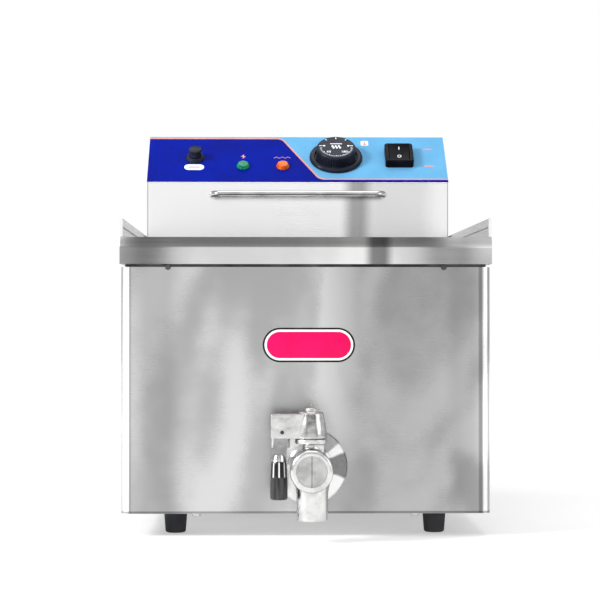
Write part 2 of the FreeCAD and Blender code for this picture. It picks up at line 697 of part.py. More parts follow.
def head_screws():
    screws = []
    for x, z in SCREW_XZ:
        at = lambda d: V(x, lie(d), z)
        head = rod(3.2, at(HEAD_BACK), at(HEAD_BACK + 2.2))
        rim = [e for e in head.Edges if e.BoundBox.YMin > lie(HEAD_BACK + 2.1)]
        head = head.makeFillet(1.0, rim)
        slot = block(x - 4, x + 4, HEAD_BACK + 1.2, HEAD_BACK + 3, z - 0.45, z + 0.45)
        screws.append(join([head, rod(1.55, at(HEAD_BACK - 6), at(HEAD_BACK))]).cut(slot))
    return group(screws)


GUIDE_X = 100.0


def head_guides():
    """Two upright channels on the rear guard that the head's hooks drop into."""
    channels = []
    for side in (-1, 1):
        x = side * GUIDE_X
        outer = block(x - 12, x + 12, 433.0, CABINET_DEPTH - SHEET, 223.0, 250.0)
        channels.append(outer.cut(block(x - 8, x + 8, 432.0, 438.0, 222.0, 251.0)))
    return group(channels)


def head_hooks():
    return group(block(side * GUIDE_X - 7, side * GUIDE_X + 7, HEAD_BACK, HEAD_BACK + 5, 226.0, 249.0)
                 for side in (-1, 1))


def control_label():
    half = HEAD_HALF + LABEL_OVERHANG
    sheet = Part.makeBox(2 * half, SLOPE_LENGTH - 1.4, LABEL_T, V(-half, 0.7, 0))
    return carve(to_slope(sheet, (0.0, 0.0)), slope_cutters())


def bent_rod(points, bend_r, radius):
    """A round rod along straight runs joined by arcs of one radius."""
    edges = []
    start = points[0]
    for before, corner, after in zip(points, points[1:], points[2:]):
        arriving = corner.sub(before).normalize()
        leaving = after.sub(corner).normalize()
        turn = arriving.getAngle(leaving)
        back = bend_r * math.tan(turn / 2.0)
        first = corner.sub(V(arriving).multiply(back))
        last = corner.add(V(leaving).multiply(back))
        inward = V(leaving).sub(arriving).normalize()
        centre = corner.add(V(inward).multiply(bend_r / math.cos(turn / 2.0)))
        middle = centre.sub(V(inward).multiply(bend_r))
        if first.sub(start).Length > 0.01:
            edges.append(Part.LineSegment(start, first).toShape())
        edges.append(Part.Arc(first, middle, last).toShape())
        start = last
    if points[-1].sub(start).Length > 0.01:
        edges.append(Part.LineSegment(start, points[-1]).toShape())
    path = Part.Wire(edges)
    section = Part.Wire(Part.makeCircle(radius, points[0], points[1].sub(points[0])))
    solid = path.makePipeShell([section], True, True)
    print("   rod of %.1f mm path, volume against section times length %.4f" % (
        path.Length, solid.Volume / (math.pi * radius * radius * path.Length)))
    return solid


def hanger_bar():
    front = HEAD_FRONT - RAIL_STANDOFF
    back = HEAD_FRONT + SHEET + 4
    points = [V(-RAIL_HALF, lie(back), RAIL_Z), V(-RAIL_HALF, lie(front), RAIL_Z),
              V(RAIL_HALF, lie(front), RAIL_Z), V(RAIL_HALF, lie(back), RAIL_Z)]
    return bent_rod(points, RAIL_BEND_R, RAIL_D / 2.0)


def heating_element():
    loops = []
    inner, outer = ELEMENT_X
    turn_r = (outer - inner) / 2.0
    for side in (-1, 1):
        at = lambda x, d, z: V(side * x, lie(d), z)
        points = [at(inner, LEG_DEPTH, 252), at(inner, LEG_DEPTH, ELEMENT_Z),
                  at(inner, 70, ELEMENT_Z), at(outer, 70, ELEMENT_Z),
                  at(outer, LEG_DEPTH, ELEMENT_Z), at(outer, LEG_DEPTH, 252)]
        loops.append(bent_rod(points, turn_r - 0.5, ELEMENT_R))
    return group(loops)


def element_bracket():
    """A strap that ties the four runs of the element, and carries the sensing bulb's clip."""
    strap = block(-84, 84, 150, 152, ELEMENT_Z - 7, ELEMENT_Z + 7)
    holes = [rod(ELEMENT_R + 0.05, V(side * x, lie(140), ELEMENT_Z), V(side * x, lie(160), ELEMENT_Z))
             for side in (-1, 1) for x in ELEMENT_X]
    return carve(strap, holes)


def thermostat_bulb():
    bulb = rod(3.0, V(0, lie(LEG_DEPTH), 82), V(0, lie(LEG_DEPTH), 232))
    tip = [e for e in bulb.Edges if e.BoundBox.ZMax < 82.01]
    return bulb.makeFillet(2.5, tip)


def terminal_block():
    body = block(50, 122, 394, 416, HEAD_BOTTOM + SHEET, HEAD_BOTTOM + 20)
    pockets = [rod(3.0, V(57 + 11.6 * k, lie(405), HEAD_BOTTOM + 12), V(57 + 11.6 * k, lie(405), HEAD_BOTTOM + 21))
               for k in range(6)]
    return carve(body, pockets)


def cable_gland():
    """The gland body with its domed cap, and its nut inside the cover."""
    at = lambda d: V(GLAND_X, lie(d), GLAND_Z)
    flange = hexagon(22.0, at(HEAD_BACK), at(HEAD_BACK + 5))
    shank = rod(8.0, at(HEAD_BACK - 6), at(HEAD_BACK))
    cap = turned([(0, 0), (10.2, 0), (10.2, 8), (9.4, 12.5), (7.4, 17.0), (0, 17.0)], at(HEAD_BACK + 5), Y)
    bore = rod(CABLE_R, at(HEAD_BACK - 7), at(GLAND_END + 1))
    nut = hexagon(22.0, at(HEAD_BACK - 5.6), at(HEAD_BACK - SHEET)).cut(rod(8.05, at(HEAD_BACK - 7), at(HEAD_BACK)))
    return group([join([flange, shank, cap]).cut(bore), nut])


# ---------------------------------------------------------------- controls on the sloped face

def lens(place):
    profile = [(7.0, 0.5), (7.0, 1.7), (6.2, 4.2), (5.2, 5.0), (0, 5.3),
               (0, 4.1), (4.6, 3.9), (5.2, 3.4), (5.6, 0.5)]
    return to_slope(turned(profile, V(0, 0, 0)), place)


def lamp_bodies():
    profile = [(0, -24), (5.0, -24), (5.0, 0.6), (3.0, 0.6), (3.0, 2.2), (1.6, 3.4), (0, 3.6)]
    return group(to_slope(turned(profile, V(0, 0, 0)), place) for place in (GREEN_AT, ORANGE_AT))


def dial_bezel():
    profile = [(3.6, LABEL_T), (BEZEL_R, LABEL_T), (BEZEL_R, 2.4), (BEZEL_R - 1.6, BEZEL_H),
               (KNOB_R + 1.6, BEZEL_H), (KNOB_R + 0.8, 2.0), (3.6, 2.0)]
    return to_slope(turned(profile, V(0, 0, 0)), DIAL_AT)


def dial_knob():
    profile = [(0, 2.4), (KNOB_R, 2.4), (KNOB_R, KNOB_TOP - 1.6), (KNOB_R - 0.5, KNOB_TOP - 0.5),
               (KNOB_R - 1.6, KNOB_TOP), (0, KNOB_TOP)]
    body = turned(profile, V(0, 0, 0))
    bore = Part.makeCylinder(DIAL_SHAFT_R + 0.02, 9.0, V(0, 0, 0))
    flutes = []
    for k in range(48):
        angle = math.radians(7.5 * k)
        at = V((KNOB_R + 0.35) * math.cos(angle), (KNOB_R + 0.35) * math.sin(angle), 3.4)
        flutes.append(Part.makeCylinder(0.75, KNOB_TOP - 6.4, at))
    return to_slope(carve(body, [bore, group(flutes)]), DIAL_AT)


def thermostat_shaft():
    return to_slope(Part.makeCylinder(DIAL_SHAFT_R, 29.0, V(0, 0, -20)), DIAL_AT)


def thermostat_body():
    case = Part.makeBox(34, 34, 26, V(-17, -17, -27))
    bore = Part.makeCylinder(DIAL_SHAFT_R + 0.05, 21.0, V(0, 0, -21))
    return to_slope(case.cut(bore), DIAL_AT)


ROCKER_PIVOT = 3.5             # height of the rocker's pivot above the sloped sheet


def switch_frame():
    collar = Part.makeBox(SWITCH_W, SWITCH_L, SWITCH_H - LABEL_T, V(-SWITCH_W / 2, -SWITCH_L / 2, LABEL_T))
    upright = [e for e in collar.Edges if abs(e.tangentAt(e.FirstParameter).z) > 0.99]
    collar = collar.makeFillet(3.2, upright)
    top = [e for e in collar.Edges if e.BoundBox.ZMin > SWITCH_H - 0.01]
    collar = collar.makeFillet(1.6, top)
    case = Part.makeBox(22, 28, 24, V(-11, -14, -23.5))
    well = Part.makeBox(ROCKER_W + 0.7, ROCKER_L + 0.6, 30, V(-ROCKER_W / 2 - 0.35, -ROCKER_L / 2 - 0.3, -10.5))
    pivots = rod(1.55, V(-10.9, 0, ROCKER_PIVOT), V(10.9, 0, ROCKER_PIVOT))
    return to_slope(carve(join([collar, case]), [well, pivots]), SWITCH_AT)


def rocker():
    """A shallow V-topped rocker, resting with its lower half pressed."""
    half = ROCKER_W / 2.0
    outline = [(-13, 5.9), (0, 4.3), (13, 5.9), (13, 0), (7, -6), (-7, -6), (-13, 0)]
    points = [V(-half, y, z) for y, z in outline]
    wedge = Part.Face(Part.makePolygon(points + points[:1])).extrude(V(2 * half, 0, 0))
    body = rod(12.3, V(-half, 0, 0), V(half, 0, 0)).common(wedge)
    body = join([body, rod(1.5, V(-10.8, 0, 0), V(10.8, 0, 0))])
    body.Placement = FreeCAD.Placement(V(0, 0, ROCKER_PIVOT), FreeCAD.Rotation(X, ROCKER_TILT))
    return to_slope(body, SWITCH_AT)


def reset_bush():
    profile = [(6.15, LABEL_T), (8.8, LABEL_T), (8.8, 1.4), (7.3, 4.0), (6.15, 4.0)]
    return to_slope(turned(profile, V(0, 0, 0)), RESET_AT)


def reset_cap():
    """The cap and the thin plunger below it."""
    top = RESET_TOP
    profile = [(0, 3.7), (5.95, 3.7), (5.3, top - 3.4), (RESET_CAP_R, top - 2.4), (RESET_CAP_R, top - 0.7),
               (RESET_CAP_R - 0.7, top), (0, top)]
    cap = turned(profile, V(0, 0, 0))
    plunger = Part.makeCylinder(1.5, 13.0, V(0, 0, -9))
    return to_slope(join([cap, plunger]), RESET_AT)


def limit_cutout():
    """The high-limit cut-out behind the panel, which the reset button's plunger enters."""
    case = Part.makeCylinder(13.0, 17.0, V(0, 0, -18))
    bore = Part.makeCylinder(1.55, 14.0, V(0, 0, -14))
    return to_slope(case.cut(bore), RESET_AT)


# ---------------------------------------------------------------- writing the pieces

def main():
    os.makedirs("parts", exist_ok=True)
    tube = cabinet_tube()
    form = head_form()
    save("base_plate", base_plate())
    save("front_panel", front_panel(tube))
    save("rear_panel", rear_panel(tube))
    save("side_panel_left", side_panel(-1))
    save("side_panel_right", side_panel(1))
    save("feet", group(foot(x, d) for x, d in foot_places()))
    save("side_guard_left", guard(-1))
    save("side_guard_right", guard(1))
    save("head_cover", head_cover(form))
    save("head_side_left", head_side(form, -1))
    save("head_side_right", head_side(form, 1))
    save("green_lens", lens(GREEN_AT))
    save("orange_lens", lens(ORANGE_AT))
    for build in (foot_screws, foot_nuts, base_screws, panel_screws, tray_seal, tray_deck, front_apron,
                  rear_guard, head_guides, tank, drain_nipple, nipple_nut, badge_plate,
                  tap_gasket, tap_flange, tap_body, tap_plug, tap_seats, tap_bonnet,
                  tap_ball, tap_stem, lever_hub, hub_screw, lever_pin,
                  handle_shank, handle_ferrule, handle_grip,
                  head_base, head_hooks, head_screws, control_label, hanger_bar,
                  lamp_bodies, dial_bezel, thermostat_body, thermostat_bulb, thermostat_shaft, dial_knob,
                  switch_frame, rocker, reset_bush, reset_cap, limit_cutout,
                  heating_element, element_bracket, terminal_block, cable_gland):
        save(build.__name__, build())
    print("front panel y %.2f, stem at %.2f %.2f, slope %.3f degrees, %.2f long" % (
        FRONT_Y, STEM_X, STEM_Y, SLOPE_ANGLE, SLOPE_LENGTH))
    for name, place in (("dial", DIAL_AT), ("switch", SWITCH_AT), ("reset", RESET_AT)):
        print(name, on_slope(place))
    print("rocker pivot", on_slope(SWITCH_AT, ROCKER_PIVOT))


main()
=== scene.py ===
# %% [markdown]
# # A countertop heated tank with a drain tap
# The object is a stainless cabinet with a deep tank, a splash tray on top, a control head that
# hooks on at the back and a quarter-turn tap at the front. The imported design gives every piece
# its true place, so this lesson only adds what a design model lacks: finishes, soft casting
# edges, print, and moulded detail. Whatever has the right shape already keeps its own mesh and
# gets a better material. Whatever needs a richer shape is built here and takes the place of
# its plain twin.

# %% Load the frame and keep its box
import json
import math

import bmesh
import bpy
from mathutils import Matrix, Vector


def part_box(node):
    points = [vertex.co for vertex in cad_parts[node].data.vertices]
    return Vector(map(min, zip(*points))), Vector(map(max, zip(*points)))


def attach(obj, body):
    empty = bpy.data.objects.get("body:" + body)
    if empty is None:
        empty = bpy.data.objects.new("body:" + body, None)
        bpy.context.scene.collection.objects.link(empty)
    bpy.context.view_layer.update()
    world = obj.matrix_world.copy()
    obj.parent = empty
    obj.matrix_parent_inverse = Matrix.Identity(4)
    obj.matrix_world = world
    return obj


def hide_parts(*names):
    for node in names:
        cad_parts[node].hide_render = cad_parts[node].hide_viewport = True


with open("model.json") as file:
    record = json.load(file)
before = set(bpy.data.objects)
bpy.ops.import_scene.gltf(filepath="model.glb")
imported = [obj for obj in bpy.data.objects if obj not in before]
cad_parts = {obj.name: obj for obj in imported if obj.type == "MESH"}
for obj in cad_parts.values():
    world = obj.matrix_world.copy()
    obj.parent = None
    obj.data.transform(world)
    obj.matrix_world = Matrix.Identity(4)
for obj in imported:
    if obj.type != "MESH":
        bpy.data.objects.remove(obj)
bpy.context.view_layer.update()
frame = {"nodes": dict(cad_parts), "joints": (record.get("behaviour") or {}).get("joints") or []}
nodes = frame["nodes"]
MM = 0.001
scene = bpy.context.scene

# %% [markdown]
# ## The camera
# A long lens a good metre and a half in front of the cabinet keeps the uprights parallel and
# lets the head look only a little narrower than the cabinet. The camera stands a hand to the
# left of the middle and close to half height, and is turned a degree or so to take the
# whole body in.

# %% Camera
front_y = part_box("front_panel")[0].y
camera_data = bpy.data.cameras.new("camera")
camera_data.lens = 116.2
camera_data.sensor_width = 36.0
camera = bpy.data.objects.new("camera", camera_data)
scene.collection.objects.link(camera)
camera.location = (-39 * MM, front_y - 1571 * MM, 175.4 * MM)
look = Vector((0.0217, 1.0, 0.0103))
camera.rotation_euler = look.to_track_quat("-Z", "Y").to_euler()
scene.camera = camera
print("camera stands at", tuple(round(v, 3) for v in camera.location))

# %% [markdown]
# ## The room
# Polished steel shows the room more than itself, so the room is the first finish to make. It
# is a pale studio: a white wall in front, dimmer sides, a dark back, a bright ceiling, a dark
# post on each side, and one dark gap above the front wall that puts the dark line along every
# tilted edge. Those tones are a simple function of direction in the world shader. The visible
# backdrop stays white.

# %% A small helper for shader graphs
def wire(tree, kind, inputs=None, **settings):
    """Adds a node. inputs maps a socket name or number to a value or to another socket."""
    made = tree.nodes.new(kind)
    for name, value in settings.items():
        setattr(made, name, value)
    for key, value in (inputs or {}).items():
        if isinstance(value, bpy.types.NodeSocket):
            tree.links.new(value, made.inputs[key])
        else:
            made.inputs[key].default_value = value
    return made


def calc(tree, operation, a, b=0.0):
    """One math step; returns its output socket."""
    return wire(tree, "ShaderNodeMath", {0: a, 1: b}, operation=operation).outputs[0]


def ramp(tree, value, low, high, start=0.0, end=1.0):
    """Maps low..high to start..end smoothly, and holds beyond them."""
    made = wire(tree, "ShaderNodeMapRange", {0: value, 1: low, 2: high, 3: start, 4: end})
    made.interpolation_type = "SMOOTHSTEP"
    return made.outputs[0]


def bump_band(tree, value, centre, half_width, soft):
    """1 within half_width of centre, 0 beyond it, with soft edges."""
    away = calc(tree, "ABSOLUTE", calc(tree, "SUBTRACT", value, centre))
    return ramp(tree, away, half_width - soft, half_width + soft, 1.0, 0.0)


def from_noise(tree, value, start=0.0, end=1.0):
    """Noise seldom leaves 0.3 to 0.7, so that part is stretched over start..end."""
    return ramp(tree, value, 0.3, 0.7, start, end)


def lessen(tree, tone, mask, strength):
    """Takes a share of the tone away where the mask is 1."""
    dip = calc(tree, "MULTIPLY", mask, strength)
    return calc(tree, "MULTIPLY", tone, calc(tree, "SUBTRACT", 1.0, dip))


def grey(tree, tone):
    """A colour from one number."""
    return wire(tree, "ShaderNodeCombineColor", {0: tone, 1: tone, 2: tone}).outputs[0]


print("shader helpers: wire, calc, ramp, bump_band, from_noise, lessen, grey")

# %% World
def build_world():
    """Tones by direction: height is the angle above level, aside how far round from the front."""
    world = bpy.data.worlds.new("studio")
    world.use_nodes = True
    tree = world.node_tree
    tree.nodes.clear()
    direction = wire(tree, "ShaderNodeTexCoord").outputs["Generated"]
    parts = wire(tree, "ShaderNodeSeparateXYZ", {0: direction})
    x, y, z = parts.outputs[0], parts.outputs[1], parts.outputs[2]
    height = calc(tree, "ARCSINE", z)
    turn = calc(tree, "ARCTAN2", x, calc(tree, "MULTIPLY", y, -1.0))
    aside = calc(tree, "ABSOLUTE", turn)
    walls = ramp(tree, aside, 0.35, 1.0, 1.0, 0.72)
    ceiling = ramp(tree, height, 0.55, 1.0, 0.0, 1.0)
    tone = calc(tree, "ADD", walls, calc(tree, "MULTIPLY", ceiling, 0.10))
    gap = calc(tree, "MULTIPLY", bump_band(tree, height, 0.40, 0.13, 0.05),
               ramp(tree, aside, 0.9, 1.3, 1.0, 0.0))
    posts = calc(tree, "MULTIPLY", bump_band(tree, aside, 0.62, 0.07, 0.03),
                 ramp(tree, height, 0.7, 0.9, 1.0, 0.0))
    shade = calc(tree, "MAXIMUM", calc(tree, "MULTIPLY", gap, 0.75), calc(tree, "MULTIPLY", posts, 0.8))
    tone = calc(tree, "MULTIPLY", tone, calc(tree, "SUBTRACT", 1.0, shade))
    tone = calc(tree, "MULTIPLY", tone, ramp(tree, aside, 2.0, 2.5, 1.0, 0.4))
    seen = wire(tree, "ShaderNodeLightPath").outputs["Is Camera Ray"]
    colour = wire(tree, "ShaderNodeMix", {0: seen, 2: tone, 3: 1.0}, data_type="FLOAT").outputs[0]
    background = wire(tree, "ShaderNodeBackground", {"Color": colour, "Strength": 1.0})
    wire(tree, "ShaderNodeOutputWorld", {"Surface": background.outputs[0]})
    scene.world = world


build_world()
scene.view_settings.view_transform = "Standard"
print("world", scene.world.name)

# %% [markdown]
# ## Floor and lights
# The floor is a pale sheet that glows a little more with distance, so it fades into the white
# backdrop without a horizon line.
# One strong lamp at the upper left draws the shadows that fall to the right of the knob and the
# switch. A weaker one fills from the right, and a wide one above lights the tray and the tank.

# %% Floor
def grid_mesh(name, points, quads):
    mesh = bpy.data.meshes.new(name)
    mesh.from_pydata(points, [], quads)
    mesh.update()
    return mesh


def place(name, mesh, material=None):
    thing = bpy.data.objects.new(name, mesh)
    scene.collection.objects.link(thing)
    if material is not None:
        mesh.materials.append(material)
    return thing


def build_floor():
    paint = bpy.data.materials.new("floor_paint")
    paint.use_nodes = True
    tree = paint.node_tree
    shader = tree.nodes["Principled BSDF"]
    spread = wire(tree, "ShaderNodeTexCoord").outputs["Object"]
    cloud = wire(tree, "ShaderNodeTexNoise", {"Vector": spread, "Scale": 3.0, "Detail": 4.0}).outputs["Fac"]
    tone = from_noise(tree, cloud, 0.60, 0.62)
    tree.links.new(grey(tree, tone), shader.inputs["Base Color"])
    shader.inputs["Roughness"].default_value = 0.6
    shader.inputs["Specular IOR Level"].default_value = 0.2
    shader.inputs["Emission Color"].default_value = (1.0, 1.0, 1.0, 1.0)
    away = wire(tree, "ShaderNodeVectorMath", {0: spread}, operation="LENGTH").outputs["Value"]
    tree.links.new(ramp(tree, away, 0.6, 1.8, 0.43, 0.8), shader.inputs["Emission Strength"])
    half = 6.0
    points = [(-half, -half, 0), (half, -half, 0), (half, half, 0), (-half, half, 0)]
    floor = place("floor", grid_mesh("floor", points, [(0, 1, 2, 3)]), paint)
    return floor


floor = build_floor()
floor.location.z = -0.0002
print("floor", tuple(round(side, 1) for side in floor.dimensions))


# %% Lights
def soft_lamp(name, at, aim, size, watts):
    data = bpy.data.lights.new(name, "AREA")
    data.shape = "RECTANGLE"
    data.size, data.size_y = size
    data.energy = watts
    lamp = bpy.data.objects.new(name, data)
    scene.collection.objects.link(lamp)
    lamp.location = at
    lamp.rotation_euler = (Vector(aim) - Vector(at)).to_track_quat("-Z", "Y").to_euler()
    return lamp


soft_lamp("key", (-1.75, -0.95, 1.25), (0, 0, 0.28), (0.5, 0.5), 50)
soft_lamp("fill", (1.9, -1.3, 0.9), (0, 0, 0.2), (1.2, 1.2), 9)
soft_lamp("top", (0.0, 0.3, 2.3), (0, 0.1, 0.2), (1.6, 1.6), 22)
print("three lamps")

# %% [markdown]
# ## Steel finishes
# Sheet steel comes from the mill with a fine satin skin. Close up it has faint streaks along
# the rolling direction; from a step away its flat panels are never quite flat, which is what
# turns a plain reflection into soft clouds. Both are made from the same recipe: a metal
# shader, streaks from a stretched noise, a wide shallow swell in the bump, and soft clouds of
# tone painted into the colour as a painted reflection of the room. Every finish below starts
# from the same few layers, all placed by the position on the object itself, so they stay put
# when a piece moves.

# %% Layers that finishes share
def new_finish(name, metallic, roughness):
    """A material and what is needed to add detail to it: tree, shader, object coordinates."""
    material = bpy.data.materials.new(name)
    material.use_nodes = True
    tree = material.node_tree
    shader = tree.nodes["Principled BSDF"]
    shader.inputs["Metallic"].default_value = metallic
    shader.inputs["Roughness"].default_value = roughness
    where = wire(tree, "ShaderNodeTexCoord").outputs["Object"]
    return material, tree, shader, where


def noise(tree, where, scale, detail=2.0, stretch=(1, 1, 1), swirl=0.0):
    """Object-space noise; stretch above 1 squeezes the pattern along that axis."""
    mapped = wire(tree, "ShaderNodeMapping", {"Vector": where, "Scale": stretch})
    made = wire(tree, "ShaderNodeTexNoise",
                {"Vector": mapped.outputs[0], "Scale": scale, "Detail": detail, "Distortion": swirl})
    return made.outputs["Fac"]


def tint(tree, factor, dark, light):
    """A colour between two, by a factor from 0 to 1."""
    made = wire(tree, "ShaderNodeMix", {0: factor, 6: (*dark, 1.0), 7: (*light, 1.0)}, data_type="RGBA")
    return made.outputs[2]


def raise_bumps(tree, shader, layers):
    """Stacks bump layers, each (height, strength, distance in metres)."""
    normal = None
    for height, strength, distance in layers:
        inputs = {"Height": height, "Strength": strength, "Distance": distance}
        if normal is not None:
            inputs["Normal"] = normal
        normal = wire(tree, "ShaderNodeBump", inputs).outputs[0]
    tree.links.new(normal, shader.inputs["Normal"])


print("finish layers: new_finish, noise, tint, raise_bumps")

# %% [markdown]
# ## The sheet recipe
# Each sheet differs only in tone, streak direction, how much it swells and which upright bands
# it carries. A band could be left to the room alone, but then it would slide over the sheet
# with every small change of view. Painting the broad ones into the tone keeps them in place,
# and the room still adds its own on top.

# %% Sheet steel
def steel(name, dark, light, roughness, swell, streak_axis="x", streak=0.008, cloud_scale=9.0, swirl=0.9,
          bands=(), lines=(), painted_dark_edge=None, painted_front_highlight=None):
    """bands are painted reflections of the room: soft, slightly wandering upright tones, each
    (x, half width, softness) in mm and a strength; below zero lightens. lines are the same but
    straight: painted highlights and thin dark lines along bent edges. The next to last argument
    is one level of painted shade along an edge: its height, then half width, softness and
    strength. The last is the depth, the reach in mm and the tone of a painted highlight along
    the front fold."""
    material, tree, shader, where = new_finish(name, 1.0, roughness)
    along = {"x": (3, 260, 260), "y": (260, 3, 260), "z": (260, 260, 3)}[streak_axis]
    streaks = noise(tree, where, 5.0, 3.0, along)
    broad = noise(tree, where, 4.5, 1.0, (1, 1, 0.6))
    clouds = noise(tree, where, cloud_scale, 1.0, (1, 1, 0.5), swirl)
    wear = noise(tree, where, 60.0, 5.0)
    mix = calc(tree, "ADD", calc(tree, "MULTIPLY", clouds, 0.88), calc(tree, "MULTIPLY", wear, 0.12))
    # The cloud tone in the colour is a painted soft reflection of the room, with a fine random mottle mixed
    # in.
    colour = tint(tree, ramp(tree, mix, 0.36, 0.64), dark, light)
    # Painted highlight: near the front fold the colour turns to a brighter cloud tone.
    if painted_front_highlight is not None:
        front, reach, tone = painted_front_highlight
        depth = wire(tree, "ShaderNodeSeparateXYZ", {0: where}).outputs[1]
        front_highlight_mask = ramp(tree, depth, front + (reach - 2) * MM, front + reach * MM, 1.0, 0.0)
        bright = tint(tree, clouds, [tone - 0.07] * 3, [tone + 0.05] * 3)
        colour = wire(tree, "ShaderNodeMix", {0: front_highlight_mask, 6: colour, 7: bright}, data_type="RGBA").outputs[2]
    # Painted reflections of the room: upright bands and lines darken or lighten the colour.
    if bands:
        parts = wire(tree, "ShaderNodeSeparateXYZ", {0: where})
        drift = calc(tree, "MULTIPLY", calc(tree, "SUBTRACT", broad, 0.5), 0.03)
        wandering = calc(tree, "ADD", parts.outputs[0], drift)
        keep = 1.0
        for x, half, soft, strength in [*bands, *lines]:
            across = wandering if (x, half, soft, strength) in bands else parts.outputs[0]
            keep = lessen(tree, keep, bump_band(tree, across, x * MM, half * MM, soft * MM), strength)
        # Painted shade: one level dark band along an edge.
        if painted_dark_edge is not None:
            edge, half, soft, strength = painted_dark_edge
            level = bump_band(tree, parts.outputs[2], edge, half * MM, soft * MM)
            keep = lessen(tree, keep, level, strength)
        colour = wire(tree, "ShaderNodeMix", {0: 1.0, 6: colour, 7: grey(tree, keep)},
                      data_type="RGBA", blend_type="MULTIPLY").outputs[2]
    tree.links.new(colour, shader.inputs["Base Color"])
    gloss = calc(tree, "ADD", from_noise(tree, streaks, -0.012, 0.012),
                 from_noise(tree, clouds, -0.03, 0.03))
    tree.links.new(calc(tree, "ADD", gloss, roughness), shader.inputs["Roughness"])
    raise_bumps(tree, shader, [(broad, 0.5, swell), (streaks, streak, 0.0002)])
    return material


print("sheet recipe ready")

# %% [markdown]
# ## Castings and the turned flange
# The tap's castings are tumbled, so they are bright but never flat: small patches of tone,
# fine pits and a slight wave. The flange was faced on a lathe. Its fine rings spread light
# sideways, which shows as sectors of light and dark that meet at the centre. A ring pattern
# in the bump would need far finer detail than its tone does, so the sectors are toned in.

# %% Castings and turned discs
def casting(name, dark, light, roughness, pit):
    """Cast or plated metal; pit is how deep the fine grain goes."""
    material, tree, shader, where = new_finish(name, 1.0, roughness)
    patches = noise(tree, where, 90.0, 3.0)
    grain = noise(tree, where, 1100.0, 3.0)
    waves = noise(tree, where, 160.0, 1.0)
    tree.links.new(tint(tree, ramp(tree, patches, 0.35, 0.65), dark, light), shader.inputs["Base Color"])
    dullness = from_noise(tree, patches, roughness - 0.04, roughness + 0.07)
    tree.links.new(dullness, shader.inputs["Roughness"])
    raise_bumps(tree, shader, [(waves, 0.35, 0.0012), (grain, pit, 0.0002)])
    return material


def spun(name, centre, tones, roughness):
    """A disc turned on a lathe shows sectors of light and dark. tones: (angle, half width, strength)."""
    material, tree, shader, where = new_finish(name, 1.0, roughness)
    parts = wire(tree, "ShaderNodeSeparateXYZ", {0: where})
    angle = calc(tree, "ARCTAN2", calc(tree, "SUBTRACT", parts.outputs[2], centre.z),
                 calc(tree, "SUBTRACT", parts.outputs[0], centre.x))
    rough_edge = calc(tree, "MULTIPLY", calc(tree, "SUBTRACT", noise(tree, where, 60.0), 0.5), 0.15)
    angle = calc(tree, "ADD", angle, rough_edge)
    keep = 0.72
    for middle, half, strength in tones:
        facing = bump_band(tree, angle, math.radians(middle), math.radians(half), 0.05)
        keep = lessen(tree, keep, facing, strength)
    keep = calc(tree, "ADD", keep, from_noise(tree, noise(tree, where, 500.0, 3.0), -0.02, 0.02))
    tree.links.new(grey(tree, keep), shader.inputs["Base Color"])
    tree.links.new(ramp(tree, keep, 0.1, 0.8, roughness + 0.05, roughness), shader.inputs["Roughness"])
    return material


print("casting and turning recipes ready")

# %% [markdown]
# ## The metal finishes
# One row per finish: its name, its dark and light tone, its roughness and how it differs. Some
# rows add a painted highlight along the front fold, some painted reflections of the room in
# upright bands and lines, and some a level band of painted shade along an edge.

